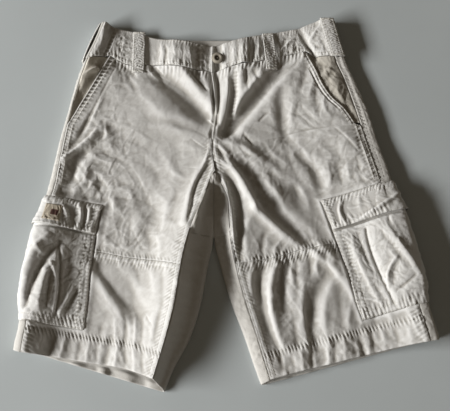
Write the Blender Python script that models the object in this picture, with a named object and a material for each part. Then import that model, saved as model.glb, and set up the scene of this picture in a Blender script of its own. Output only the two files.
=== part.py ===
"""Cargo shorts laid flat, face up: a faceted cloth solid for each piece a maker cuts.

Frame (plan, millimetres before the final shift): +X towards the wearer's left
side, +Y towards the waist, +Z up, floor at z = 0.  Each leg has its own table
of cross-sections; the front is a sheet at the heights those tables and the
fold table give, the back wraps round both edges of the leg and lies on the
floor.  Trims are made from the points of the panel they lie on, moved out.
"""
import bpy
import math
import numpy as np

MM = 0.001
CLOTH = 1.5            # wall of one layer of cotton twill
BAND = 3.0             # waistband: two layers and its facing
HEM = 2.4              # turned-up hem
GAP = 0.3              # clear space left at a seam
SEAM = 0.25            # half the space between two panels that meet in plan
LIFT = CLOTH + GAP     # from a panel's middle to the middle of what lies on it
FLOOR = CLOTH / 2      # middle of the layer that lies on the floor
LOW = 3.9              # lowest middle height of the upper layer
ROLL_UNDER = 11.0      # how far a side edge curls in before it reaches the floor
FLY_LAP = 10.0         # right front under the left one at the fly
FLY_SINK = 4.2
SHIFT_X, SHIFT_Y = -1.95, -13.65   # puts the origin under the middle of the outline

# ---------------------------------------------------------------- sections
# One row for each cross-section of a leg, from the waist down.
# y: level.  edge: outer outline.  seam: side seam on the top face.
# inner: centre front, then inseam.  lip: inner outline (back panel).
# h_side .. h_inner: height of the front at the side seam, at a quarter, half
# and three quarters of the way across, and at the centre line or inseam.
SECTION_COLUMNS = ("y", "edge", "seam", "inner", "lip",
                   "h_side", "h_quarter", "h_half", "h_three", "h_inner")
RIGHT_LEG = [          # wearer's right, at -X
    (310, -193, -188, -22, -18.2, 17, 9, 8, 14, 11),
    (262, -210, -205, -22, -18.2, 18, 9, 8, 22, 11),
    (232, -222, -217, -22, -18.2, 19, 9, 9, 20, 11),
    (205, -231, -226, -20, -18.2, 17, 12, 10, 15, 10),
    (150, -244, -239, -15, -18.2, 16, 14, 15, 16, 13),
    (100, -255, -248, -21, -18.2, 17, 12, 9, 11, 16),
    (50, -264, -255, -17.6, -18.2, 17, 10, 9, 12, 20),
    (36, -267, -257, -22.5, -18.2, 17, 9, 9, 12, 22),
    (0, -274, -264, -34, -18.2, 19, 8, 8, 13, 29),
    (-50, -284, -272, -54, -18.4, 21, 7, 6, 12, 36),
    (-100, -291, -279, -65, -27, 22, 7, 5, 11, 40),
    (-150, -296, -283, -72, -36, 22, 7, 5, 14, 40),
    (-200, -303, -290, -84, -51, 22, 7, 6, 15, 37),
    (-250, -312, -297, -99, -77, 19, 8, 7, 14, 30),
    (-285, -318, -303, -110, -90, 18, 8, 7, 12, 24),
]
LEFT_LEG = [           # wearer's left, at +X
    (310, 171, 156, -22, -15.8, 17, 10, 10, 14, 11),
    (262, 182, 169, -22, -15.8, 17, 10, 12, 22, 11),
    (232, 191, 176, -22, -15.8, 17, 12, 15, 20, 11),
    (205, 202, 187, -20, -15.8, 17, 14, 15, 18, 10),
    (150, 222, 204, -15, -15.8, 18, 16, 12, 13, 13),
    (100, 235, 218, -21, -15.8, 18, 14, 9, 14, 16),
    (50, 250, 232, -16.4, -15.8, 19, 12, 11, 15, 20),
    (36, 253, 236, -9, -15.8, 19, 11, 10, 15, 20),
    (0, 262, 245, 5, -15.8, 20, 9, 8, 14, 19),
    (-50, 274, 258, 8, -15.6, 22, 8, 8, 13, 19),
    (-100, 286, 270, 17, -5, 23, 8, 9, 12, 15),
    (-150, 296, 281, 31, 10, 24, 8, 10, 12, 13),
    (-200, 309, 294, 47, 29, 23, 8, 10, 10, 12),
    (-250, 321, 307, 62, 46, 20, 8, 9, 10, 11),
    (-285, 329, 315, 73, 59, 18, 8, 9, 10, 10),
]
# Profile of the inner edge from the lip (0) to the inseam (1).
LIP_COLUMNS = ("across", "right", "left")
LIP_PROFILE = [
    (0.00, 0.00, 0.00),
    (0.10, 0.12, 0.38),
    (0.40, 0.24, 0.72),
    (0.75, 0.62, 0.94),
    (1.00, 1.00, 1.00),
]

# ------------------------------------------------------------------- folds
# A soft trough (negative) or ridge along a curve through three plan points.
# h0, h1, h2: height at its start, middle and end.  w_left, w_right: half
# width to the left and right of its run.
FOLD_COLUMNS = ("name", "x0", "y0", "x1", "y1", "x2", "y2",
                "h0", "h1", "h2", "w_left", "w_right")
FOLDS = [
    # front, wearer's right
    ("drag_to_fly", -114, 214, -78, 192, -28, 138, -3, -8, -4, 11, 15),
    ("drag_crest", -84, 228, -54, 202, -24, 158, 2, 5, 2, 9, 8),
    ("fly_pinch_r", -53, 211, -42, 196, -27, 178, -3, -4, -2, 7, 8),
    ("hip_fold", -193, 120, -216, 94, -246, 70, 2, 5, 4, 7, 6),
    ("hip_hollow", -206, 96, -228, 66, -240, 18, -3, -6, -4, 10, 13),
    ("lap_crease_r", -118, 136, -72, 127, -26, 109, -1, -3, -2, 8, 8),
    ("thigh_hollow_r", -128, 8, -110, -14, -120, -52, -2, -6, -4, 16, 14),
    ("crotch_ridge_r", -28, 72, -49, 18, -60, -34, 2, 5, 4, 8, 9),
    ("crotch_groove_r", -26, 56, -38, 20, -47, -14, -2, -4, -2, 7, 7),
    ("knee_valley_r", -197, -74, -166, -114, -132, -168, -3, -5, -5, 13, 12),
    ("knee_ridge_r", -199, -98, -176, -132, -142, -186, 3, 5, 2, 10, 12),
    ("hem_dip_r1", -166, -200, -171, -222, -176, -250, -1, -3, -4, 6, 6),
    ("hem_dip_r2", -222, -196, -226, -215, -229, -238, -1, -2, -3, 8, 8),
    # front, wearer's left
    ("fly_ridge", 4, 214, 3, 176, -8, 122, 3, 5, 3, 8, 8),
    ("fly_valley", 13, 204, 11, 168, -2, 112, -3, -6, -4, 9, 8),
    ("pleat_ridge", 28, 224, 21, 192, 17, 146, 3, 5, 3, 9, 9),
    ("long_valley", 104, 230, 62, 190, 4, 118, -3, -8, -5, 12, 11),
    ("long_ridge", 130, 247, 86, 204, 24, 126, 3, 5, 2, 10, 9),
    ("lap_dent", 90, 184, 88, 148, 95, 102, -2, -4, -2, 8, 8),
    ("crotch_ridge_l1", -6, 97, 36, 82, 100, 36, 2, 5, 3, 9, 10),
    ("crotch_ridge_l2", -12, 80, 20, 42, 46, -6, 3, 8, 7, 8, 9),
    ("thigh_ridge_l", 46, -6, 84, -44, 136, -78, 7, 6, 4, 9, 9),
    ("knee_ridge_l", 136, -78, 165, -104, 189, -140, 4, 5, 2, 8, 7),
    ("thigh_valley_l", 14, 70, 58, 24, 120, -56, -2, -7, -4, 14, 12),
    ("inseam_groove_l", 3, 46, 20, 0, 21, -84, -2, -5, -4, 8, 8),
    ("hip_hollow_l", 118, 76, 139, 50, 147, 16, -3, -5, -2, 8, 9),
    ("shin_valley_l1", 56, -98, 54, -152, 86, -242, -4, -5, -4, 10, 9),
    ("shin_ridge_l1", 76, -96, 69, -150, 84, -212, 3, 4, 2, 7, 8),
    ("shin_valley_l2", 97, -92, 86, -132, 93, -182, -3, -4, -1, 9, 8),
    ("shin_valley_l3", 154, -106, 128, -164, 140, -232, -3, -6, -4, 10, 10),
    ("hem_dip_l1", 194, -190, 199, -210, 204, -230, -1, -3, -3, 5, 5),
    # waistband
    ("band_dip_r1", -42, 264, -45, 240, -41, 214, -3, -5, -4, 7, 7),
    ("band_dip_r2", -112, 276, -108, 250, -112, 226, -3, -3, -2, 8, 10),
    ("band_fold_l", 118, 292, 129, 264, 143, 240, -4, -5, -4, 5, 7),
    ("band_dip_l1", 66, 280, 74, 252, 84, 222, -2, -3, -2, 8, 8),
]

# --------------------------------------------------------------- cut lines
# Outline of each piece in plan as four sides; each row is one point.
WAIST_TOP_R = [(-190, 298), (-170, 290), (-140, 284), (-110, 274), (-75, 269), (-40, 263), (-8, 258)]
WAIST_SEAM_R = [(-217, 234), (-200, 239), (-183, 242), (-150, 228), (-115, 227), (-70, 221), (-8, 213)]
WAIST_TOP_L = [(-22, 259), (15, 268), (50, 277), (85, 284), (118, 291), (140, 299), (158, 305)]
WAIST_SEAM_L = [(-22, 213), (15, 223), (50, 229), (90, 241), (128, 249), (147, 240), (173, 240)]
POCKET_SLANT_R = [(-183, 242), (-200, 208), (-221, 168), (-243, 127)]
POCKET_SLANT_L = [(128, 249), (142, 222), (153, 195), (168, 170), (188, 150), (203, 126)]
FLY_EDGE = [(-22, 213), (-20, 205), (-17, 180), (-15, 152), (-17, 130), (-20, 110)]
KNEE_SEAM_R = [(-276, -76), (-196, -73), (-150, -81), (-110, -87), (-65, -98)]
KNEE_SEAM_L = [(263, -68), (168, -62), (120, -70), (70, -84), (14, -93)]
HEM_R = [(-294, -223), (-250, -229), (-200, -237), (-150, -245), (-102, -261)]
HEM_L = [(297, -207), (250, -216), (200, -228), (150, -240), (100, -252), (65, -262)]

# Rows of the back: level at the outline, the side seam and inner end.
BACK_COLUMNS = ("edge_y", "seam_y", "lip_y", "inseam_y")
BACK_R = {"waist": (232, 234, 222, 222), "hem": (-218, -223, -278, -261)}
BACK_L = {"waist": (239, 240, 222, 222), "hem": (-204, -207, -268, -262)}
APEX_Y = -52           # where the two legs part
LIP_Z = 3.0            # height of the inner outline
SEAT_RISE = [(-52, 3.0), (-38, 7.5), (-20, 12.5), (0, 14.5), (14, 15.5), (27, 16.2), (40, 17.0)]   # y, height

# Cargo pocket and flap: level at the outline and distance in from it, at the
# top and bottom, and the fall in level for each millimetre inwards.
CARGO_COLUMNS = ("leg", "pocket_top", "pocket_bottom", "pocket_in_top", "pocket_in_bottom",
                 "flap_top", "flap_bottom", "flap_in_top", "flap_in_bottom", "fall", "bulge")
CARGO = [
    ("right", 2, -176, 87, 95, 12, -33, 90, 84, 0.15, 6.0),
    ("left", 26, -150, 112, 101, 35, -12, 116, 107, 0.26, 4.0),
]
POCKET_FOLDS = [
    ("pleat_r", -250, -52, -249, -120, -252, -166, -2, -4, -2, 5, 9),
    ("swell_r", -270, -50, -292, -100, -293, -160, 1, 3, 1, 9, 12),
    ("pleat_l", 212, -36, 226, -88, 252, -156, -2, -3, -2, 5, 6),
    ("swell_l", 188, -50, 210, -100, 238, -158, 1, 3, 1, 8, 8),
    ("corner_l", 240, -40, 268, -80, 290, -112, 1, 3, 1, 8, 10),
]

# Belt loops on the waistband: plan points of the middle line and width.
LOOP_COLUMNS = ("name", "x_top", "y_top", "x_foot", "y_foot", "width", "stand")
LOOPS = [
    ("belt_loop_front_right", -137, 284.5, -137.5, 213, 19.0, 0.8),
    ("belt_loop_front_left", 68, 281.0, 74, 216, 18.0, 0.8),
]
EDGE_LOOPS = [         # over the rolled sides: distances in from the outline
    {"name": "belt_loop_side_right", "top_y": 295, "foot_y": 228, "in": 9.0, "out": -3.0, "stand": 4.0},
    {"name": "belt_loop_side_left", "top_y": 304, "foot_y": 238, "in": 21.0, "out": 3.0, "stand": 0.8},
]
BACK_LOOP = {"x": -17, "top_y": 272, "foot_y": 205, "width": 18}

BUTTON = {"x": -12.5, "y": 236.5, "radius": 9.6, "height": 4.2}
TAG_WALL = 1.0         # plain woven tag on the right flap


# ------------------------------------------------------------------ helpers
def hermite(q, xs, ys):
    """Monotone cubic through the table (xs rising, ys), read at q."""
    q = np.asarray(q, float)
    xs = np.asarray(xs, float)
    ys = np.asarray(ys, float)
    d = np.diff(ys) / np.diff(xs)
    m = np.zeros(len(xs))
    m[0], m[-1] = d[0], d[-1]
    same = d[:-1] * d[1:] > 0
    m[1:-1] = np.where(same, 2 * d[:-1] * d[1:] / np.where(same, d[:-1] + d[1:], 1), 0)
    q = np.clip(q, xs[0], xs[-1])
    k = np.clip(np.searchsorted(xs, q, side="right") - 1, 0, len(xs) - 2)
    h = xs[k + 1] - xs[k]
    t = (q - xs[k]) / h
    return ((2 * t**3 - 3 * t**2 + 1) * ys[k] + (t**3 - 2 * t**2 + t) * h * m[k]
            + (-2 * t**3 + 3 * t**2) * ys[k + 1] + (t**3 - t**2) * h * m[k + 1])


def smooth(a, b, v):
    t = np.clip((np.asarray(v, float) - a) / (b - a), 0, 1)
    return t * t * (3 - 2 * t)


class Leg:
    """The section table of one leg, read at any level."""

    def __init__(self, rows, sign, lip):
        order = sorted(rows)
        self.ys = [r[0] for r in order]
        self.col = {n: [r[i] for r in order] for i, n in enumerate(SECTION_COLUMNS)}
        self.sign = sign                     # -1 outline at -X, +1 at +X
        self.lip = [(r[0], r[LIP_COLUMNS.index(lip)]) for r in LIP_PROFILE]

    def at(self, name, y):
        return hermite(y, self.ys, self.col[name])

    def base(self, x, y):
        u = (x - self.at("seam", y)) / (self.at("inner", y) - self.at("seam", y))
        u = np.clip(u, 0, 1) * 4
        h = [self.at(n, y) for n in SECTION_COLUMNS[5:]]
        h = np.stack(np.broadcast_arrays(*h), -1)
        k = np.clip(np.floor(u).astype(int), 0, 3)
        t = u - k
        pick = lambda i: np.take_along_axis(h, i[..., None], -1)[..., 0]
        a, b = pick(k), pick(k + 1)
        ma = np.where(k > 0, (b - pick(np.maximum(k - 1, 0))) / 2, 0)
        mb = np.where(k < 3, (pick(np.minimum(k + 2, 4)) - a) / 2, 0)
        return ((2 * t**3 - 3 * t**2 + 1) * a + (t**3 - 2 * t**2 + t) * ma
                + (-2 * t**3 + 3 * t**2) * b + (t**3 - t**2) * mb)


RIGHT = Leg(RIGHT_LEG, -1, "right")
LEFT = Leg(LEFT_LEG, 1, "left")


def relief(x, y, rows):
    """Sum of the folds at plan points."""
    x = np.asarray(x, float)
    y = np.asarray(y, float)
    out = np.zeros(np.broadcast(x, y).shape)
    for row in rows:
        r = dict(zip(FOLD_COLUMNS, row))
        p0, p1, p2 = [np.array([r["x%d" % i], r["y%d" % i]], float) for i in range(3)]
        c = 2 * p1 - (p0 + p2) / 2
        ts = np.linspace(0, 1, 9)
        pts = [(1 - t)**2 * p0 + 2 * t * (1 - t) * c + t * t * p2 for t in ts]
        best = np.full(out.shape, 1e9)
        side = np.zeros(out.shape)
        along = np.zeros(out.shape)
        for i in range(8):
            ax, ay = pts[i]
            dx, dy = pts[i + 1] - pts[i]
            ll = dx * dx + dy * dy
            t = np.clip(((x - ax) * dx + (y - ay) * dy) / ll, 0, 1)
            ex, ey = x - ax - t * dx, y - ay - t * dy
            dd = ex * ex + ey * ey
            near = dd < best
            best = np.where(near, dd, best)
            side = np.where(near, dx * ey - dy * ex, side)
            along = np.where(near, (i + t) / 8, along)
        w = np.where(side > 0, r["w_left"], r["w_right"])
        h = hermite(along, [0, 0.5, 1], [r["h0"], r["h1"], r["h2"]])
        out = out + h * np.exp(-best / (w * w))
    return out


def top(leg, x, y):
    """Middle height of the upper layer."""
    z = leg.base(x, y) + relief(x, y, FOLDS)
    k = 1.3
    return LOW + k * np.logaddexp(0, (z - LOW) / k)


def floor(x, y):
    """Middle height of the layer on the floor: lifted over the back loop."""
    b = BACK_LOOP
    near = 1 - smooth(b["width"] / 2 + 4, b["width"] / 2 + 50, abs(x - b["x"]))
    return FLOOR + (LIFT + 0.4) * near * smooth(b["foot_y"] - 40, b["foot_y"] - 12, y)


def edge(leg, y, a):
    """Panel round the outer edge: a runs in from the outline, under if negative."""
    y = np.asarray(y, float)
    a = np.asarray(a, float)
    xe, xs = leg.at("edge", y), leg.at("seam", y)
    wide = abs(xe - xs)
    zs = top(leg, xs, y)
    zm = 0.45 * zs
    t = np.clip(1 - a / wide, 0, 1) * math.pi / 2
    f = np.clip(-a / ROLL_UNDER, 0, 1) * math.pi / 2
    over = a >= wide
    roll = (a >= 0) & ~over
    x = np.where(over, xe - leg.sign * a,
                 np.where(roll, xs + (xe - xs) * np.sin(t),
                          np.where(a > -ROLL_UNDER, xe - leg.sign * ROLL_UNDER * (1 - np.cos(f)),
                                   xe + leg.sign * a)))
    zf = floor(x, y)
    z = np.where(over, top(leg, x, y),
                 np.where(roll, zm + (zs - zm) * np.cos(t), zf + (zm - zf) * (1 - np.sin(f))))
    return np.stack([x, y + 0 * x, z], -1)


def curve(points, n):
    """n + 1 points evenly along a smooth run through the table's points."""
    p = np.array(points, float)
    s = np.concatenate([[0], np.cumsum(np.linalg.norm(np.diff(p, axis=0), axis=1))])
    q = np.linspace(0, s[-1], n + 1)
    return np.stack([hermite(q, s, p[:, 0]), hermite(q, s, p[:, 1])], -1)


def level(leg, name, y0, y1, n, shift=0.0):
    """n + 1 points down a column of the section table, from level y0 to y1."""
    y = np.linspace(y0, y1, n + 1)
    return np.stack([leg.at(name, y) + shift, y], -1)


def patch(a, b, left, right):
    """Plan grid between four sampled sides: a at the top, b at the bottom."""
    nu, nv = len(a) - 1, len(left) - 1
    u = np.linspace(0, 1, nu + 1)[None, :, None]
    v = np.linspace(0, 1, nv + 1)[:, None, None]
    return ((1 - v) * a[None] + v * b[None] + (1 - u) * left[:, None] + u * right[:, None]
            - (1 - u) * (1 - v) * a[0] - u * (1 - v) * a[-1] - (1 - u) * v * b[0] - u * v * b[-1])


def shrink(grid, amount):
    """Pull the rim of a plan grid in, which leaves the gap at its seams."""
    g = grid.copy()
    for axis in (0, 1):
        s = np.swapaxes(g, 0, axis)
        for e, n in ((0, 1), (-1, -2)):
            d = s[n] - s[e]
            s[e] += d / np.linalg.norm(d, axis=-1, keepdims=True) * amount
    return g


MATERIALS = {}


def material(name, colour, rough, metal=0.0):
    if name not in MATERIALS:
        m = bpy.data.materials.new(name)
        m.use_nodes = True
        p = m.node_tree.nodes["Principled BSDF"]
        p.inputs["Base Color"].default_value = (*colour, 1)
        p.inputs["Roughness"].default_value = rough
        p.inputs["Metallic"].default_value = metal
        MATERIALS[name] = m
    return MATERIALS[name]


def add(name, verts, faces, colour, rough=0.9, metal=0.0):
    mesh = bpy.data.meshes.new(name)
    mesh.from_pydata([((x + SHIFT_X) * MM, (y + SHIFT_Y) * MM, z * MM) for x, y, z in verts], [], faces)
    mesh.validate()
    mesh.materials.append(material(name + "_mat", colour, rough, metal))
    for p in mesh.polygons:
        p.use_smooth = True
    ob = bpy.data.objects.new(name, mesh)
    bpy.context.scene.collection.objects.link(ob)
    return ob


def wall(name, pts, quads, thick, colour, upright="all", facing={}):
    """Closed solid of wall thick about the middle surface pts / quads.

    upright: points whose wall stands straight up, which keeps two pieces
    that meet at a seam apart; "all" is the whole rim.  facing: points whose
    outward direction is given."""
    pts = np.asarray(pts, float)
    quads = np.asarray(quads, int)
    thick = np.broadcast_to(np.asarray(thick, float), (len(pts),))
    n = np.zeros_like(pts)
    d1 = pts[quads[:, 2]] - pts[quads[:, 0]]
    d2 = pts[quads[:, 3]] - pts[quads[:, 1]]
    fn = np.cross(d1, d2)
    for k in range(4):
        np.add.at(n, quads[:, k], fn)
    n /= np.linalg.norm(n, axis=1, keepdims=True)
    edges = {}
    for q in quads:
        for a, b in zip(q, np.roll(q, -1)):
            edges[(a, b)] = 1
    rim = sorted({i for a, b in edges if (b, a) not in edges for i in (a, b)})
    for i in rim if isinstance(upright, str) else upright:
        n[i] = (0, 0, 1 if n[i, 2] > 0 else -1)
    for i, d in facing.items():
        n[i] = d
    up = pts + n * thick[:, None] / 2
    dn = pts - n * thick[:, None] / 2
    m = len(pts)
    faces = [tuple(q) for q in quads] + [tuple(m + i for i in q[::-1]) for q in quads]
    for a, b in edges:
        if (b, a) not in edges:
            faces.append((b, a, m + a, m + b))
    return add(name, np.concatenate([up, dn]), faces, colour)


def grid_quads(rows, cols, flip=False):
    q = []
    for j in range(rows - 1):
        for i in range(cols - 1):
            a = j * cols + i
            f = (a, a + 1, a + cols + 1, a + cols)
            q.append(f[::-1] if flip else f)
    return q


def up_quads(p):
    """Grid faces turned so that they look up (or outwards at a rolled edge)."""
    rows, cols = p.shape[:2]
    d1 = p[rows // 2 + 1, cols // 2 + 1] - p[rows // 2, cols // 2]
    d2 = p[rows // 2 + 1, cols // 2] - p[rows // 2, cols // 2 + 1]
    return grid_quads(rows, cols, np.cross(d1, d2)[2] < 0)


TWILL = (0.56, 0.54, 0.49)
TWILL_SHADE = (0.50, 0.48, 0.43)


# -------------------------------------------------------------------- front
def fly_x(y):
    rows = FLY_EDGE[::-1]
    return hermite(y, [p[1] for p in rows], [p[0] for p in rows])


def centre(leg, y0, y1, n):
    """Inner side of an upper front: fly or crotch seam, then the inseam."""
    y = np.linspace(y0, y1, n + 1)
    if leg is LEFT:
        x = np.where(y >= 104, fly_x(y), leg.at("inner", y) + SEAM)
        x = np.where((y < 104) & (y > 48), np.interp(y, [48, 62, 80, 104], [-14.4, -16.4, -19.4, -20.2]), x)
    else:
        lap = FLY_LAP * smooth(112, 150, y)
        x = np.where(y >= 104, fly_x(y) + lap - 0.7, leg.at("inner", y) - SEAM)
        x = np.where((y < 104) & (y > 48), np.interp(y, [48, 62, 80, 104], [-15.6, -17.6, -20.6, -21.4]), x)
    return np.stack([x, y], -1)


def side(leg, slant, y_bottom, n):
    """Outer side of an upper front: slanted pocket mouth, then the side seam."""
    down = curve(slant, 8)
    seam = level(leg, "seam", slant[-1][1], y_bottom, n - 8)
    return np.concatenate([down, seam[1:]])


def sink_under_fly(x, y):
    """How far the right front drops where the left one laps over it."""
    return FLY_SINK * smooth(-22, -7, x - fly_x(y)) * smooth(98, 114, y)


def front_panels():
    rows, cols, low_cols, low_rows = 19, 17, 13, 9
    for leg, tag, slant, waist, knee, hem in (
            (RIGHT, "right", POCKET_SLANT_R, WAIST_SEAM_R, KNEE_SEAM_R, HEM_R),
            (LEFT, "left", POCKET_SLANT_L, WAIST_SEAM_L, KNEE_SEAM_L, HEM_L)):
        knee, hem = curve(knee, cols), curve(hem, low_cols)
        outer = side(leg, slant, knee[0][1], rows)
        knee[0][0] = outer[-1][0]
        inner = centre(leg, 213, knee[-1][1], rows)
        knee[-1][0] = inner[-1][0]
        waist = waist_run(waist, leg)[4:]
        waist[-1] = inner[0]
        g = shrink(patch(waist, knee, outer, inner), SEAM)
        put_front("front_%s_upper" % tag, g, leg)
        knee = curve(KNEE_SEAM_R if leg is RIGHT else KNEE_SEAM_L, low_cols)
        out = level(leg, "seam", knee[0][1], hem[0][1], low_rows)
        inn = level(leg, "inner", knee[-1][1], hem[-1][1], low_rows)
        knee[0], knee[-1], hem[0], hem[-1] = out[0], inn[0], out[-1], inn[-1]
        g = shrink(patch(knee, hem, out, inn), SEAM)
        g[0] += np.array([0, -0.5])
        put_front("front_%s_lower" % tag, g, leg)


def waist_run(rows, leg):
    """Waist seam, sampled alike for the band and for what hangs from it."""
    corner = [p for p in rows].index(POCKET_SLANT_R[0] if leg is RIGHT else POCKET_SLANT_L[0])
    if leg is RIGHT:
        return np.concatenate([curve(rows[:corner + 1], 4), curve(rows[corner:], 17)[1:]])
    return np.concatenate([curve(rows[corner:][::-1], 4), curve(rows[:corner + 1][::-1], 17)[1:]])


def put_front(name, g, leg):
    x, y = g[..., 0], g[..., 1]
    z = top(leg, x, y)
    if leg is RIGHT:
        z = z - sink_under_fly(x, y)
    p = np.stack([x, y, z], -1)
    t = np.full(p.shape[:2], CLOTH)
    if name.endswith("lower"):
        t[-3:] = HEM
    wall(name, p.reshape(-1, 3), up_quads(p), t.reshape(-1), TWILL)


# --------------------------------------------------------------------- back
ROLL_STEPS = (0.0, 0.4, 0.75, 1.0)       # over the edge, from the seam outwards
UNDER_STEPS = (0.4, 1.0)                 # and under it


def roll_run(leg, y, first):
    wide = abs(leg.at("edge", y) - leg.at("seam", y))
    return np.concatenate([wide * (1 - np.array(ROLL_STEPS)) - first * np.array([1, 0, 0, 0]),
                           -ROLL_UNDER * np.array(UNDER_STEPS)]), wide


def back_panel(name, leg, table, seam_in):
    rows = 19
    v = np.linspace(0, 1, rows)
    w, h = table["waist"], table["hem"]
    ye, ys, yl, yi = [w[k] + (h[k] - w[k]) * v for k in range(4)]
    apex = int(np.argmin(abs(yl - APEX_Y)))
    yl = np.interp(v, [0, v[apex], 1], [w[2], APEX_Y, h[2]])
    yi = np.interp(v, [0, v[apex], 1], [w[3], APEX_Y + 8, h[3]])
    roll_in = 3.6
    n_floor = 4
    verts, upright, lips = [], [], {}
    for j in range(rows):
        a, wide = roll_run(leg, ys[j], 2 * SEAM)
        y = np.interp(a, [-ROLL_UNDER, 0, wide], [ye[j], ye[j], ys[j]])
        ring = list(edge(leg, y, a))
        upright.append(len(verts))
        xs, yb = ring[-1][0], ring[-1][1]
        end = seam_in if j < apex else float(leg.at("lip", yl[j]))
        xc = end + leg.sign * roll_in
        for k in range(1, n_floor):
            t = k / (n_floor - 1)
            x, yy = xs + (xc - xs) * t, yb + (yl[j] - yb) * t
            ring.append(np.array([x, yy, float(floor(x, yy))]))
        ring.append(np.array([end, yl[j], float(floor(end, yl[j])) if j < apex else LIP_Z]))
        verts.extend(ring)
        if j < apex:
            upright.append(len(verts) - 1)
        else:
            lips[len(verts) - 1] = (-leg.sign, 0, 0)
    cols = len(verts) // rows
    index = np.arange(rows * cols).reshape(rows, cols)
    quads = [(index[j, i], index[j, i + 1], index[j + 1, i + 1], index[j + 1, i])
             for j in range(rows - 1) for i in range(cols - 1)]
    # upper part, from the lip to the inseam, and the tongue up to the crotch
    steps = [0.10, 0.40, 0.70, 1.0]
    across, share = [r[0] for r in leg.lip], [r[1] for r in leg.lip]
    seat_y, seat_z = [r[0] for r in SEAT_RISE], [r[1] for r in SEAT_RISE]
    upper = []
    for y in seat_y[:0:-1]:
        z0 = float(hermite(y, seat_y, seat_z))
        x1 = float(leg.at("inner", y)) - leg.sign * 3 * SEAM
        z1 = float(top(leg, x1, y))
        ids = []
        for s in [0.0] + steps:
            ids.append(len(verts))
            verts.append(np.array([seam_in + (x1 - seam_in) * s, y,
                                   z0 + (z1 - z0) * float(np.interp(s, [0, 0.5, 1], [0, 0.4, 1]))]))
        upright += ([ids[0]] if y > -30 else []) + [ids[-1]] + (ids if y == seat_y[-1] else [])
        upper.append(ids)
    for j in range(apex, rows):
        lip = verts[index[j, -1]]
        ids = [index[j, -1]]
        x1 = float(leg.at("inner", yi[j])) - leg.sign * 3 * SEAM
        z1 = float(top(leg, x1, yi[j]))
        for s in steps:
            ids.append(len(verts))
            verts.append(np.array([lip[0] + (x1 - lip[0]) * s, lip[1] + (yi[j] - lip[1]) * s,
                                   lip[2] + (z1 - lip[2]) * float(hermite(s, across, share))]))
        upright.append(ids[-1])
        upper.append(ids)
    for r in range(len(upper) - 1):
        for i in range(len(steps)):
            quads.append((upper[r][i], upper[r][i + 1], upper[r + 1][i + 1], upper[r + 1][i]))
    if leg.sign > 0:
        quads = [q[::-1] for q in quads]
    wall(name, verts, quads, CLOTH, TWILL_SHADE, upright, lips)


# ---------------------------------------------------------------- waistband
def waistband():
    drop = BAND + GAP + 0.6
    low = CLOTH + BAND + GAP + 1.6
    for leg, tag, tops, seams in ((RIGHT, "right", WAIST_TOP_R, WAIST_SEAM_R), (LEFT, "left", WAIST_TOP_L, WAIST_SEAM_L)):
        seams = waist_run(seams, leg)
        tops = curve(tops if leg is RIGHT else tops[::-1], len(seams) - 1)
        outer = level(leg, "seam", tops[0][1], seams[0][1], 3)
        tops[0], seams[0] = outer[0], outer[-1]
        inner = np.linspace(tops[-1], seams[-1], 4)
        g = shrink(patch(tops, seams, outer, inner), SEAM)
        x, y = g[..., 0], g[..., 1]
        z = np.maximum(top(leg, x, y), low)
        if leg is RIGHT:
            z = z - drop * smooth(-40, -25, x)
        p = np.stack([x, y, z], -1)
        wall("waistband_front_" + tag, p.reshape(-1, 3), up_quads(p), BAND, TWILL)
    # back: from one side seam over the edge, along the floor and up the other
    rows = []
    for s in np.linspace(0, 1, 4):
        ring = []
        for leg, ye, ys in ((RIGHT, 297 - 64 * s, 298 - 63 * s), (LEFT, 305 - 65 * s, 305 - 64 * s)):
            a, wide = roll_run(leg, ys, 3 * SEAM)
            y = np.interp(a, [-ROLL_UNDER, 0, wide], [ye, ye, ys])
            q = edge(leg, y, a)
            q[:, 2] += (BAND - CLOTH) / 2 * (1 - smooth(0, wide, a))
            ring.append(q)
        a, b = ring[0][-1], ring[1][-1]
        mid_y = 271 - 47.5 * s
        run = []
        for x in (-175, -120, -70, -32, -17, -2, 36, 90, 140):
            y = hermite(x, [a[0], -110, -17, 80, b[0]], [a[1], mid_y + 5, mid_y, mid_y + 8, b[1]])
            run.append((x, float(y), float(floor(x, y)) + (BAND - CLOTH) / 2))
        rows.append(np.concatenate([ring[0], np.array(run), ring[1][::-1]]))
    p = np.array(rows)
    n = p.shape[1]
    ends = [j * n for j in range(4)] + [j * n + n - 1 for j in range(4)]
    wall("waistband_back", p.reshape(-1, 3), grid_quads(p.shape[0], n), BAND, TWILL_SHADE, ends)


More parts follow.
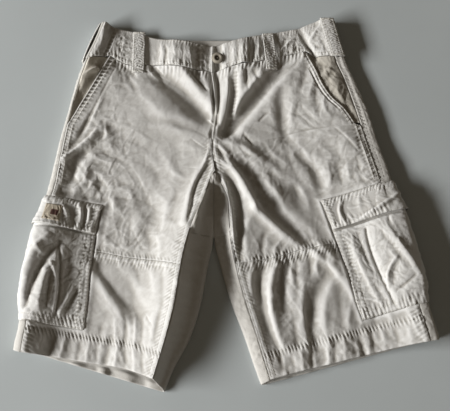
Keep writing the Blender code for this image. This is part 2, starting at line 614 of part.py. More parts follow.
# ------------------------------------------------------------ pocket facing
def facings():
    """Cloth behind each slanted pocket mouth, reaching in under its edge."""
    for leg, tag, slant, sink in ((RIGHT, "right", POCKET_SLANT_R, 5.5), (LEFT, "left", POCKET_SLANT_L, 5.0)):
        down = curve(slant, 8)
        under = down - leg.sign * np.stack([np.linspace(9.0, -0.6, 9), np.zeros(9)], -1)
        under[0][1] -= 4.0
        y_end = slant[-1][1] + 8.0                     # ends where seam and mouth are still apart
        under[-1] = (np.interp(y_end, down[::-1, 1], down[::-1, 0]) + leg.sign * 0.6, y_end)
        outer = level(leg, "seam", waist_run(WAIST_SEAM_R if leg is RIGHT else WAIST_SEAM_L, leg)[0][1], y_end, 8)
        tops = waist_run(WAIST_SEAM_R if leg is RIGHT else WAIST_SEAM_L, leg)[:5]
        tops = np.concatenate([tops, [under[0]]])
        tops[0] = outer[0]
        ends = np.linspace(outer[-1], under[-1], 6)
        g = shrink(patch(tops, ends, outer, under), 2 * SEAM)
        x, y = g[..., 0], g[..., 1]
        inside = leg.sign * (np.interp(y, down[::-1, 1], down[::-1, 0]) - x)      # mm past the mouth
        span = np.abs(leg.at("seam", y) - x)
        z = top(leg, x, y) - sink * smooth(-16, -3, inside) * smooth(0, 8, span)
        p = np.stack([x, y, np.maximum(z, 4.0)], -1)
        wall("pocket_facing_" + tag, p.reshape(-1, 3), up_quads(p), CLOTH, TWILL_SHADE)


# ------------------------------------------------------------ cargo pockets
def outward(p):
    """Unit normals of a grid of points, looking out of the leg."""
    n = np.cross(np.gradient(p, axis=1), np.gradient(p, axis=0))
    n /= np.linalg.norm(n, axis=-1, keepdims=True)
    return n if n[n.shape[0] // 2, 1, 2] > 0 else -n


def leg_grid(leg, tops, bottoms, columns, rows, fall, end=UNDER_STEPS[0]):
    """Panel points over part of a leg: tops / bottoms = (level, distance in).

    The last columns are those of the back panel's roll."""
    v = np.linspace(0, 1, rows + 1)[:, None]
    y0 = tops[0] + (bottoms[0] - tops[0]) * v
    inset = tops[1] + (bottoms[1] - tops[1]) * v
    wide = abs(leg.at("edge", y0) - leg.at("seam", y0))
    front = [inset + (26.0 - inset) * t for t in np.linspace(0, 1, columns + 1)]
    over = [wide * (1 - t) for t in ROLL_STEPS] + [-ROLL_UNDER * end + 0 * wide]
    a = np.concatenate(front + over, axis=1)
    y = y0 - fall * np.maximum(a, 0)
    return edge(leg, y, a), a, v + 0 * a


def swell(s, v, bulge):
    return bulge * smooth(0.04, 0.6, s) * (1 - smooth(0.93, 1.0, s)) * smooth(0.0, 0.3, v) * (1 - smooth(0.84, 1.0, v))


def rest_on(q, lower, by):
    """Raise q where needed so that it clears what is below by a wall and a gap."""
    q[..., 2] = np.maximum(q[..., 2], lower + by)
    return q


def cargo():
    for row in CARGO:
        r = dict(zip(CARGO_COLUMNS, row))
        leg = RIGHT if r["leg"] == "right" else LEFT
        tops, bottoms = (r["pocket_top"], r["pocket_in_top"]), (r["pocket_bottom"], r["pocket_in_bottom"])
        far = -ROLL_UNDER * UNDER_STEPS[0]
        share = lambda a: 1 - (a - far) / ((tops[1] + bottoms[1]) / 2 - far)      # across the pocket
        p, a, v = leg_grid(leg, tops, bottoms, 6, 9, r["fall"])
        s = np.clip(share(a), 0, 1)
        n = outward(p)
        lift = LIFT + 0.5 + swell(s, v, r["bulge"])
        q = p + n * lift[..., None]
        folds = smooth(0.02, 0.14, s) * (s < 0.9) * smooth(0, 0.2, v) * (1 - smooth(0.85, 1, v))
        q[..., 2] += relief(q[..., 0], q[..., 1], POCKET_FOLDS) * folds
        on_top = s < 0.8
        q = rest_on(q, np.where(on_top, top(leg, q[..., 0], q[..., 1]), 0), np.where(on_top, LIFT + 1.4, 1.6))
        wall("cargo_pocket_" + r["leg"], q.reshape(-1, 3), up_quads(q), CLOTH, TWILL, [])
        # the flap laps over the top of the pocket
        ftops, fbots = (r["flap_top"], r["flap_in_top"]), (r["flap_bottom"], r["flap_in_bottom"])
        p, a, v = leg_grid(leg, ftops, fbots, 6, 5, r["fall"], 0.08)
        s = np.clip(share(a), 0, 1)
        n = outward(p)
        pv = np.clip((v * (r["flap_bottom"] - r["flap_top"]) + r["flap_top"] - r["pocket_top"])
                     / (r["pocket_bottom"] - r["pocket_top"]), 0, 1)
        lift = LIFT + 0.5 + (LIFT + 2.2) * smooth(0.0, 0.2, v) + swell(s, pv, r["bulge"]) * 1.2
        q = p + n * lift[..., None]
        q[..., 2] += relief(q[..., 0], q[..., 1], POCKET_FOLDS) * smooth(0.02, 0.14, s) * (s < 0.9) * smooth(0, 0.2, pv)
        low = LIFT + 1.4 + (LIFT + 1.6) * smooth(0.0, 0.2, v)
        q = rest_on(q, np.where(s < 0.8, top(leg, q[..., 0], q[..., 1]), 0), np.where(s < 0.8, low, 1.6))
        wall("cargo_flap_" + r["leg"], q.reshape(-1, 3), up_quads(q), CLOTH, TWILL, [])
        if r["leg"] == "right":
            n = outward(q)
            t = (q + n * (CLOTH / 2 + TAG_WALL / 2 + 0.5))[1:5, 6:10]
            wall("flap_tag", t.reshape(-1, 3), up_quads(t), TAG_WALL, (0.20, 0.14, 0.08), [])


# -------------------------------------------------------------- belt loops
def loops():
    for row in LOOPS:
        r = dict(zip(LOOP_COLUMNS, row))
        leg = RIGHT if r["x_top"] < -22 else LEFT
        a, b = np.array([r["x_top"], r["y_top"]]), np.array([r["x_foot"], r["y_foot"]])
        d = (b - a) / np.linalg.norm(b - a)
        across = np.array([-d[1], d[0]])
        v = np.linspace(0, 1, 6)[:, None, None]
        w = np.linspace(-0.5, 0.5, 3)[None, :, None] * r["width"]
        g = a + (b - a) * v + across * w
        x, y = g[..., 0], g[..., 1]
        z = np.maximum(top(leg, x, y), CLOTH + BAND + GAP + 1.6).max(axis=1, keepdims=True) + 0 * x
        lift = BAND / 2 + CLOTH / 2 + 0.9 + r["stand"] * np.sin(math.pi * v[..., 0])
        p = np.stack([x, y, z + lift], -1)
        wall(r["name"], p.reshape(-1, 3), up_quads(p), CLOTH, TWILL, [])
    for r in EDGE_LOOPS:
        leg = RIGHT if r["name"].endswith("right") else LEFT
        rows = []
        t = np.linspace(0, 1, 7)
        y = r["top_y"] + (r["foot_y"] - r["top_y"]) * t
        wide = abs(leg.at("edge", y) - leg.at("seam", y))
        a = np.stack([np.full(7, r["in"])] + [wide * (1 - k) for k in ROLL_STEPS if wide.max() * (1 - k) < r["in"] - 1
                                             and wide.min() * (1 - k) > r["out"] + 1] + [np.full(7, r["out"])], 1)
        q = edge(leg, y[:, None] + 0 * a, a)
        n = outward(q)
        away = BAND / 2 + CLOTH / 2 + 1.0 + r["stand"] * np.sin(math.pi * t)
        p = q + n * away[:, None, None]
        wall(r["name"], p.reshape(-1, 3), up_quads(p), CLOTH, TWILL, [])
    # centre back loop, flat under the band
    b = BACK_LOOP
    v = np.linspace(0, 1, 5)[:, None]
    w = np.linspace(-0.5, 0.5, 3)[None, :]
    x = b["x"] + w * b["width"] + 0 * v
    y = b["top_y"] + (b["foot_y"] - b["top_y"]) * v + 0 * w
    p = np.stack([x, y, np.full(x.shape, FLOOR)], -1)
    wall("belt_loop_back", p.reshape(-1, 3), up_quads(p), CLOTH, TWILL_SHADE)


# ------------------------------------------------------------------- button
def button():
    b = BUTTON
    R, H = b["radius"], b["height"]
    prof = [(0.0, H * 0.62), (0.20 * R, H * 0.60), (0.30 * R, H * 0.34), (0.44 * R, H * 0.36),
            (0.62 * R, H * 0.86), (0.80 * R, H), (0.95 * R, H * 0.80), (R, H * 0.42),
            (0.93 * R, 0.08 * H), (0.80 * R, 0.0), (0.0, 0.0)]
    seg = 16
    ring = [(-22, 226), (-3, 226), (-22, 247), (-3, 247), (b["x"], b["y"])]
    z0 = max(float(top(LEFT, x, y)) for x, y in ring) + BAND / 2 + 0.8
    verts, faces = [(b["x"], b["y"], z0 + prof[0][1])], []
    for r, h in prof[1:-1]:
        for k in range(seg):
            t = 2 * math.pi * k / seg
            verts.append((b["x"] + r * math.cos(t), b["y"] + r * math.sin(t), z0 + h))
    verts.append((b["x"], b["y"], z0))
    last = len(verts) - 1
    n = len(prof) - 2
    for k in range(seg):
        m = (k + 1) % seg
        faces.append((0, 1 + k, 1 + m))
        for j in range(n - 1):
            a, c = 1 + j * seg, 1 + (j + 1) * seg
            faces.append((a + k, c + k, c + m, a + m))
        c = 1 + (n - 1) * seg
        faces.append((c + k, last, c + m))
    add("waist_button", verts, faces, (0.30, 0.27, 0.21), 0.35, 1.0)


def main():
    for ob in list(bpy.data.objects):
        bpy.data.objects.remove(ob, do_unlink=True)
    front_panels()
    back_panel("back_right", RIGHT, BACK_R, -17 - 2 * SEAM)
    back_panel("back_left", LEFT, BACK_L, -17 + 2 * SEAM)
    waistband()
    facings()
    cargo()
    loops()
    button()


main()
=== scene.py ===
import json
import math
import time
import bpy
import numpy as np
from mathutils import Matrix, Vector


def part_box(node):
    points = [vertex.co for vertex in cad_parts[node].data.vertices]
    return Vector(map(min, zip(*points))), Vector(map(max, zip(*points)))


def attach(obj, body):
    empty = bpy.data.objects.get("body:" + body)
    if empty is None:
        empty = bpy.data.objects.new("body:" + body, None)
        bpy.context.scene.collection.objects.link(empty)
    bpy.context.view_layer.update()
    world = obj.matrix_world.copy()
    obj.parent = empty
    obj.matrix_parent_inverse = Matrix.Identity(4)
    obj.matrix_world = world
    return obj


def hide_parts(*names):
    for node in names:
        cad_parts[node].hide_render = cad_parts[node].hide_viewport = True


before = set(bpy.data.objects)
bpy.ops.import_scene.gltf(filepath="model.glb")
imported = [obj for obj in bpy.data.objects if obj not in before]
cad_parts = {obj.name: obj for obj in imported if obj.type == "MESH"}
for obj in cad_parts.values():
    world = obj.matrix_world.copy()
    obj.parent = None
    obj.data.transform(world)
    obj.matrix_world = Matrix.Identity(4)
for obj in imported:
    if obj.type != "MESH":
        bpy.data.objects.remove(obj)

T0 = time.time()
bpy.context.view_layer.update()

# Plan sizes are millimetres in the part's frame before its final shift, as in
# the part's own source: +X towards the wearer's left side, +Y the waist.
MM = 0.001
CLOTH, BAND, GAP, SEAM = 1.5, 3.0, 0.3, 0.10
LIFT = CLOTH + GAP
FLOOR = CLOTH / 2
LOW = 3.9
ROLL_UNDER = 11.0
FLY_LAP = 10.0
SHIFT_X, SHIFT_Y = -1.95, -13.65
STEP = 1.25                 # grid of the visible cloth

# ------------------------------------------------------------ section tables
SECTION_COLUMNS = ("y", "edge", "seam", "inner", "lip",
                   "h_side", "h_quarter", "h_half", "h_three", "h_inner")
RIGHT_LEG = [
    (310, -193, -188, -22, -18.2, 17, 9, 8, 14, 11),
    (262, -210, -205, -22, -18.2, 18, 9, 8, 22, 11),
    (232, -222, -217, -22, -18.2, 19, 9, 9, 20, 11),
    (205, -231, -226, -20, -18.2, 17, 12, 10, 15, 10),
    (150, -244, -239, -15, -18.2, 16, 14, 15, 16, 13),
    (100, -255, -248, -21, -18.2, 17, 12, 9, 11, 16),
    (50, -264, -255, -17.6, -18.2, 17, 10, 9, 12, 20),
    (36, -267, -257, -22.5, -18.2, 17, 9, 9, 12, 22),
    (0, -274, -264, -34, -18.2, 19, 8, 8, 13, 29),
    (-50, -284, -272, -54, -18.4, 21, 7, 6, 12, 36),
    (-100, -291, -279, -65, -27, 22, 7, 5, 11, 40),
    (-150, -296, -283, -72, -36, 22, 7, 5, 14, 40),
    (-200, -303, -290, -84, -51, 22, 7, 6, 15, 37),
    (-250, -312, -297, -99, -77, 19, 8, 7, 14, 30),
    (-285, -318, -303, -110, -90, 18, 8, 7, 12, 24),
]
LEFT_LEG = [
    (310, 171, 156, -22, -15.8, 17, 10, 10, 14, 11),
    (262, 182, 169, -22, -15.8, 17, 10, 12, 22, 11),
    (232, 191, 176, -22, -15.8, 17, 12, 15, 20, 11),
    (205, 202, 187, -20, -15.8, 17, 14, 15, 18, 10),
    (150, 222, 204, -15, -15.8, 18, 16, 12, 13, 13),
    (100, 235, 218, -21, -15.8, 18, 14, 9, 14, 16),
    (50, 250, 232, -16.4, -15.8, 19, 12, 11, 15, 20),
    (36, 253, 236, -9, -15.8, 19, 11, 10, 15, 20),
    (0, 262, 245, 5, -15.8, 20, 9, 8, 14, 19),
    (-50, 274, 258, 8, -15.6, 22, 8, 8, 13, 19),
    (-100, 286, 270, 17, -5, 23, 8, 9, 12, 15),
    (-150, 296, 281, 31, 10, 24, 8, 10, 12, 13),
    (-200, 309, 294, 47, 29, 23, 8, 10, 10, 12),
    (-250, 321, 307, 62, 46, 20, 8, 9, 10, 11),
    (-285, 329, 315, 73, 59, 18, 8, 9, 10, 10),
]
LIP_COLUMNS = ("across", "right", "left")
LIP_PROFILE = [(0.00, 0.00, 0.00), (0.10, 0.12, 0.38), (0.40, 0.24, 0.72), (0.75, 0.62, 0.94), (1.00, 1.00, 1.00)]

# A soft trough (negative) or ridge along a curve through three plan points.
FOLD_COLUMNS = ("x0", "y0", "x1", "y1", "x2", "y2", "h0", "h1", "h2", "w_left", "w_right")
FOLDS = [                    # the largest, as the solids have them
    (-114, 214, -78, 192, -28, 138, -3, -8, -4, 11, 15),
    (-84, 228, -54, 202, -24, 158, 2, 5, 2, 9, 8),
    (-53, 211, -42, 196, -27, 178, -3, -4, -2, 7, 8),
    (-193, 120, -216, 94, -246, 70, 2, 5, 4, 7, 6),
    (-206, 96, -228, 66, -240, 18, -3, -6, -4, 10, 13),
    (-118, 136, -72, 127, -26, 109, -1, -3, -2, 8, 8),
    (-128, 8, -110, -14, -120, -52, -2, -6, -4, 16, 14),
    (-28, 72, -49, 18, -60, -34, 2, 5, 4, 8, 9),
    (-26, 56, -38, 20, -47, -14, -2, -4, -2, 7, 7),
    (-197, -74, -166, -114, -132, -168, -3, -5, -5, 13, 12),
    (-199, -98, -176, -132, -142, -186, 3, 5, 2, 10, 12),
    (-166, -200, -171, -222, -176, -250, -1, -3, -4, 6, 6),
    (-222, -196, -226, -215, -229, -238, -1, -2, -3, 8, 8),
    (4, 214, 3, 176, -8, 122, 3, 5, 3, 8, 8),
    (13, 204, 11, 168, -2, 112, -3, -6, -4, 9, 8),
    (28, 224, 21, 192, 17, 146, 3, 5, 3, 9, 9),
    (104, 230, 62, 190, 4, 118, -3, -8, -5, 12, 11),
    (130, 247, 86, 204, 24, 126, 3, 5, 2, 10, 9),
    (90, 184, 88, 148, 95, 102, -2, -4, -2, 8, 8),
    (-6, 97, 36, 82, 100, 36, 2, 5, 3, 9, 10),
    (-12, 80, 20, 42, 46, -6, 3, 8, 7, 8, 9),
    (46, -6, 84, -44, 136, -78, 7, 6, 4, 9, 9),
    (136, -78, 165, -104, 189, -140, 4, 5, 2, 8, 7),
    (14, 70, 58, 24, 120, -56, -2, -7, -4, 14, 12),
    (3, 46, 20, 0, 21, -84, -2, -5, -4, 8, 8),
    (118, 76, 139, 50, 147, 16, -3, -5, -2, 8, 9),
    (56, -98, 54, -152, 86, -242, -4, -5, -4, 10, 9),
    (76, -96, 69, -150, 84, -212, 3, 4, 2, 7, 8),
    (97, -92, 86, -132, 93, -182, -3, -4, -1, 9, 8),
    (154, -106, 128, -164, 140, -232, -3, -6, -4, 10, 10),
    (194, -190, 199, -210, 204, -230, -1, -3, -3, 5, 5),
    (-42, 264, -45, 240, -41, 214, -3, -5, -4, 7, 7),
    (-112, 276, -108, 250, -112, 226, -3, -3, -2, 8, 10),
    (118, 292, 129, 264, 143, 240, -4, -5, -4, 5, 7),
    (66, 280, 74, 252, 84, 222, -2, -3, -2, 8, 8),
]
# Smaller creases, seen only here.  Same columns.
DETAIL_RIGHT = [             # front of the wearer's right leg
    (-46, -4, -54, -62, -65, -125, 0.5, 3.0, 5.0, 11, 7),
    (-68, -128, -78, -195, -97, -264, 5, 8, 8, 13, 12),
    (-122, 228, -117, 214, -97, 200, 1.5, 2.6, 1, 4, 4),
    (-112, 222, -101, 208, -95, 190, -1.5, -2.4, -1, 4, 4),
    (-15, 60, -27, 26, -36, 4, 2.0, 3.0, 2.5, 5, 6),
    (-289, -182, -291, -204, -293, -226, 4, 5, 5, 24, 4),
    (-252, -190, -254, -208, -256, -226, -2, -3, -3, 10, 10),
    (-53, 211, -42, 196, -27, 178, 2.6, 3.4, 1.8, 7, 8),
    (-53, 213, -43, 199, -28, 183, -1.2, -2.4, -1.2, 2.0, 2.0),
    (-36, 214, -27, 190, -20, 158, 1.6, 3.0, 3.0, 8, 7),
    (-134, 196, -104, 150, -56, 106, 1.5, 3.5, 2, 26, 13),
    (-92, 206, -68, 180, -31, 140, -4.5, -7.5, -5.5, 10, 20),
    (-178, 236, -158, 224, -146, 212, -1.2, -2.2, -2, 4, 6),
    (-158, 215, -149, 200, -141, 180, -0.8, -1.6, -0.5, 6, 5),
    (-170, 224, -163, 210, -160, 192, -0.8, -1.2, -0.3, 4, 4),
    (-205, 145, -215, 125, -230, 98, -1.6, -2.4, -1.2, 3, 4),
    (-192, 166, -203, 144, -211, 128, 0.8, 1.4, 0.6, 3, 3),
    (-199, 124, -194, 114, -190, 104, -0.5, -1.2, -0.5, 5, 5),
    (-182, 132, -176, 120, -170, 108, -0.3, -0.9, -0.4, 6, 5),
    (-168, 120, -162, 106, -156, 94, -0.3, -0.9, -0.4, 7, 6),
    (-197, 119, -216, 99, -250, 68, 0.8, 1.6, 1.0, 4, 2.5),
    (-60, 124, -44, 117, -28, 110, 0.4, 1.4, 1.6, 8, 8),
    (-186, 128, -184, 118, -183, 106, 0.5, 1.4, 0.4, 3, 3),
    (-150, 128, -132, 116, -120, 96, 0.3, 0.9, 0.3, 7, 7),
    (-176, 96, -150, 84, -128, 80, -0.3, -1.1, -0.4, 8, 8),
    (-206, 66, -190, 44, -176, 30, 0.4, 1.2, 0.3, 7, 5),
    (-232, 78, -230, 56, -238, 30, -1, -2, -1, 6, 6),
    (-214, 62, -212, 44, -222, 24, 0.8, 1.8, 0.6, 5, 5),
    (-200, 40, -205, 28, -214, 18, 0.6, 1.6, 0.8, 4, 3),
    (-190, 34, -192, 24, -198, 12, -0.8, -1.5, -0.6, 4, 4),
    (-172, 22, -168, 6, -170, -14, 0.4, 1.3, 0.4, 6, 5),
    (-158, 60, -140, 40, -130, 14, -0.3, -1.2, -0.6, 8, 8),
    (-100, 84, -84, 62, -78, 36, 0.4, 1.6, 0.6, 9, 7),
    (-122, 70, -108, 52, -98, 30, -0.4, -1.4, -0.8, 7, 8),
    (-90, 60, -74, 46, -60, 40, 0.6, 1.8, 0.6, 6, 6),
    (-70, 96, -50, 88, -32, 84, 0.3, 1.1, 0.8, 7, 6),
    (-26, 58, -38, 20, -47, -14, 1, 2.6, 1.6, 5, 5),
    (-28, 58, -44, 26, -50, -6, -2, -4.5, -3.5, 3.4, 3.0),
    (-50, -8, -53, -22, -55, -36, -3.0, -3.0, -0.4, 2.6, 2.8),
    (-24, 92, -30, 64, -42, 36, 1, 2, 1, 3, 3),
    (-66, 30, -74, 8, -80, -24, -0.6, -1.6, -0.8, 7, 7),
    (-80, 14, -92, -20, -92, -56, 0.6, 1.8, 0.6, 7, 7),
    (-146, 30, -140, 4, -136, -30, 0.4, 1.3, 0.5, 7, 6),
    (-156, -16, -160, -36, -158, -60, -0.4, -1.5, -0.8, 5, 5),
    (-176, -30, -180, -50, -178, -68, 0.5, 1.4, 0.8, 5, 5),
    (-120, -40, -114, -58, -116, -78, -0.8, -1.6, -1.2, 5, 5),
    (-104, -46, -98, -64, -98, -82, 0.6, 1.6, 1, 5, 5),
    (-194, -84, -162, -108, -119, -164, -2.4, -6.2, -3.6, 11, 17),
    (-106, 26, -128, 0, -152, -24, -1.2, -2.8, -1.2, 12, 14),
    (-152, -28, -143, -48, -134, -72, -0.8, -2.4, -1.0, 9, 12),
    (-178, 24, -170, 2, -158, -14, 0.6, 1.8, 0.6, 8, 8),
    (-188, -76, -182, -86, -170, -96, -1, -1.6, -0.5, 4, 4),
    (-160, -84, -158, -96, -150, -112, 0.8, 1.6, 0.6, 4, 4),
    (-140, -86, -132, -102, -126, -122, -0.8, -1.6, -0.6, 5, 5),
    (-120, -92, -108, -112, -104, -140, 0.8, 1.8, 0.8, 7, 6),
    (-96, -98, -92, -120, -92, -150, -0.4, -1.4, -0.6, 5, 5),
    (-148, -168, -144, -188, -146, -212, -1.2, -2.2, -1.4, 4, 5),
    (-134, -166, -130, -188, -133, -214, 1, 2.2, 1.2, 4, 4),
    (-122, -170, -120, -190, -122, -212, -0.8, -1.6, -0.8, 3.5, 3.5),
    (-162, -176, -160, -194, -160, -210, 0.8, 1.6, 0.8, 4, 4),
    (-176, -168, -182, -188, -182, -204, -0.6, -1.5, -0.8, 5, 5),
    (-104, -170, -104, -190, -108, -214, 0.6, 1.4, 0.8, 5, 5),
    (-90, -150, -96, -176, -102, -206, -0.6, -1.5, -0.8, 4, 4),
    (-210, -200, -212, -214, -215, -232, -1, -2.2, -1.6, 4, 4),
    (-232, -198, -236, -212, -239, -228, 0.8, 1.8, 1, 5, 4),
    (-246, -198, -252, -212, -254, -228, -0.8, -2, -1.2, 5, 5),
    (-262, -196, -266, -210, -270, -226, 0.6, 1.6, 0.8, 6, 5),
    (-198, -204, -200, -218, -202, -236, 0.8, 1.8, 1, 4, 4),
    (-188, -204, -187, -220, -188, -238, -0.8, -1.5, -1, 4, 4),
    (-156, -208, -157, -224, -160, -244, 1, 2, 1.4, 4, 4),
    (-146, -210, -144, -228, -144, -246, -1, -1.8, -1, 4, 4),
    (-132, -212, -131, -230, -130, -250, 0.8, 1.8, 1.2, 4, 4),
    (-120, -214, -119, -234, -118, -254, -0.8, -1.6, -1, 4, 4),
]
DETAIL_LEFT = [              # front of the wearer's left leg
    (182, 226, 214, 118, 244, 20, -4.5, -5.5, -3.0, 30, 18),
    (74, 218, 38, 184, 12, 138, 4.0, 7.0, 4.5, 9, 8),
    (104, 222, 70, 186, 12, 116, -2.5, -5, -4, 8, 9),
    (4, 200, 4, 165, -4, 122, 1.0, 2.0, 1.5, 3, 3),
    (26, 152, 14, 132, 2, 110, -3, -4.5, -4, 8, 8),
    (60, 178, 34, 146, 10, 118, -1.5, -2.5, -2.5, 8, 9),
    (-4, 45, 7, 0, 13, -50, 2, 4.5, 4, 5, 5),
    (12, -48, 18, -75, 24, -104, 4, 3, 1.5, 7, 6),
    (262, -150, 272, -176, 282, -198, 1.5, 3.0, 1.5, 16, 6),
    (214, -160, 220, -176, 222, -190, -0.6, -1.6, -0.8, 5, 5),
    (238, -158, 242, -172, 246, -186, 0.8, 1.8, 0.8, 5, 5),
    (16, 200, 16, 165, 6, 125, -1.0, -2.2, -1.5, 4, 4),
    (20, 62, 64, 22, 122, -46, 3.0, 7.5, 5.5, 16, 15),
    (54, 74, 98, 30, 144, -30, -0.8, -2.0, -1.4, 20, 18),
    (146, -66, 163, -84, 188, -114, 2.5, 3.5, 2, 10, 10),
    (136, -58, 149, -71, 162, -84, 2.5, 5.0, 3.5, 9, 8),
    (-21, 210, -16, 176, -13, 144, 2.2, 2.8, 2.0, 3.5, 2.2),
    (-13, 214, -10, 178, -12, 128, -2.6, -3.4, -3.0, 4, 6),
    (33, 214, 34, 200, 36, 184, -1.2, -2.4, -1.2, 3, 3),
    (39, 212, 43, 221, 50, 230, 0.8, 1.6, 0.8, 2.4, 2.4),
    (46, 214, 50, 204, 56, 196, -0.8, -1.6, -0.6, 3, 3),
    (60, 226, 56, 214, 46, 200, 0.8, 1.6, 0.6, 4, 4),
    (100, 228, 84, 216, 70, 198, 0.6, 1.5, 0.6, 4, 4),
    (118, 238, 112, 228, 104, 222, -0.8, -1.4, -0.4, 3, 3),
    (130, 225, 125, 205, 117, 180, -1, -2.6, -1.2, 6, 6),
    (140, 208, 136, 190, 130, 170, 0.6, 1.5, 0.5, 5, 4),
    (146, 190, 142, 170, 146, 150, -0.8, -1.6, -0.6, 4, 5),
    (156, 172, 154, 156, 164, 138, 0.6, 1.5, 0.6, 4, 4),
    (110, 170, 104, 150, 104, 126, 0.6, 1.7, 0.6, 6, 5),
    (74, 176, 70, 152, 78, 128, 0.4, 1.2, 0.4, 7, 6),
    (54, 133, 60, 140, 67, 146, -0.8, -1.3, -0.6, 2, 2),
    (103, 113, 136, 119, 168, 121, -0.2, -0.4, -0.3, 1.6, 1.6),
    (168, 122, 186, 104, 203, 84, -0.4, -0.6, -0.4, 1.5, 1.8),
    (176, 120, 194, 100, 208, 84, 0.3, 0.6, 0.3, 4, 3),
    (30, 109, 38, 99, 44, 92, -1, -1.6, -0.8, 2.2, 2.2),
    (-15, 95, -2, 84, 8, 75, 1.6, 2.8, 1.2, 4, 4),
    (-12, 88, -3, 72, 5, 58, -2, -3.4, -1.2, 4, 4),
    (12, 80, 45, 62, 70, 35, 0.4, 1.2, 0.5, 6, 6),
    (20, 105, 52, 82, 95, 45, -0.2, -0.5, -0.2, 9, 9),
    (62, 96, 76, 78, 98, 60, 0.5, 1.6, 0.6, 6, 6),
    (26, 72, 44, 48, 66, 22, -0.3, -0.8, -0.5, 6, 6),
    (56, 40, 76, 20, 92, -10, 0.5, 1.9, 0.8, 6, 6),
    (84, 52, 106, 26, 112, -4, -0.6, -2, -0.8, 6, 7),
    (100, 40, 122, 14, 128, -18, 0.5, 1.6, 0.6, 6, 6),
    (112, 96, 124, 82, 132, 62, 0.6, 1.5, 0.6, 5, 6),
    (150, 100, 168, 84, 180, 60, -0.5, -1.6, -0.8, 7, 7),
    (158, 66, 160, 46, 160, 28, 0.8, 2.2, 1, 6, 6),
    (172, 62, 176, 46, 178, 32, -0.8, -1.8, -0.8, 4, 5),
    (186, 66, 188, 50, 190, 38, 0.6, 1.6, 0.8, 4, 4),
    (200, 76, 204, 60, 208, 42, -0.6, -1.6, -0.8, 4, 4),
    (214, 100, 216, 80, 222, 60, 0.4, 1.2, 0.5, 4, 4),
    (44, -16, 30, -46, 34, -84, 0.5, 1.6, 0.8, 6, 6),
    (64, -40, 56, -60, 56, -84, -0.6, -1.8, -1.2, 5, 5),
    (84, -56, 76, -68, 74, -82, 0.6, 1.6, 1, 4, 4),
    (110, -30, 124, -46, 144, -58, -0.4, -1.4, -0.8, 6, 6),
    (140, -20, 150, -34, 164, -46, 0.4, 1.2, 0.5, 6, 6),
    (60, -96, 52, -118, 52, -140, -1, -2, -1, 5, 5),
    (42, -96, 38, -120, 46, -150, 0.8, 1.6, 0.8, 5, 5),
    (75, -95, 66, -150, 84, -214, 0.6, 1.5, 0.8, 4, 4),
    (88, -92, 84, -104, 82, -118, -1, -1.6, -0.6, 3, 3),
    (100, -88, 98, -102, 100, -118, 0.8, 1.6, 0.6, 3.5, 3.5),
    (110, -84, 106, -104, 108, -128, -0.8, -1.8, -0.8, 4, 4),
    (118, -112, 114, -160, 122, -214, 0.8, 2.2, 1.2, 6, 6),
    (126, -82, 128, -98, 126, -114, -0.8, -1.6, -0.6, 4, 4),
    (138, -78, 136, -96, 140, -112, 0.8, 1.5, 0.6, 4, 4),
    (150, -76, 150, -88, 156, -102, -0.8, -1.5, -0.6, 3.5, 3.5),
    (158, -118, 146, -166, 152, -206, 0.6, 1.8, 0.8, 6, 6),
    (100, -180, 104, -200, 106, -218, -0.8, -1.8, -1, 5, 5),
    (172, -120, 170, -150, 172, -186, -0.5, -1.5, -0.8, 6, 6),
    (186, -150, 182, -170, 182, -190, 0.6, 1.5, 0.8, 5, 5),
    (64, -196, 72, -216, 78, -240, 0.5, 1.4, 0.8, 4, 4),
    (84, -222, 86, -236, 88, -252, 0.8, 1.8, 1.2, 4, 4),
    (96, -218, 98, -234, 100, -250, -0.8, -1.6, -1, 4, 4),
    (110, -216, 112, -230, 113, -246, 0.8, 1.8, 1.2, 4, 4),
    (125, -212, 126, -228, 127, -244, -1, -2.4, -1.6, 4, 4),
    (148, -208, 150, -222, 150, -240, 0.8, 2, 1.4, 4, 4),
    (158, -206, 160, -220, 160, -236, -0.8, -2, -1.2, 4, 4),
    (172, -202, 174, -216, 175, -232, 0.8, 1.8, 1.2, 5, 4),
    (186, -198, 188, -212, 190, -228, -0.6, -1.4, -0.8, 4, 4),
    (214, -190, 216, -204, 219, -222, -1, -2.2, -1.6, 4, 4),
    (228, -188, 231, -202, 234, -218, 0.8, 1.8, 1.2, 5, 5),
    (246, -184, 250, -200, 252, -214, -0.8, -1.8, -1, 5, 5),
    (264, -182, 268, -198, 271, -212, 0.6, 1.6, 1, 5, 5),
]
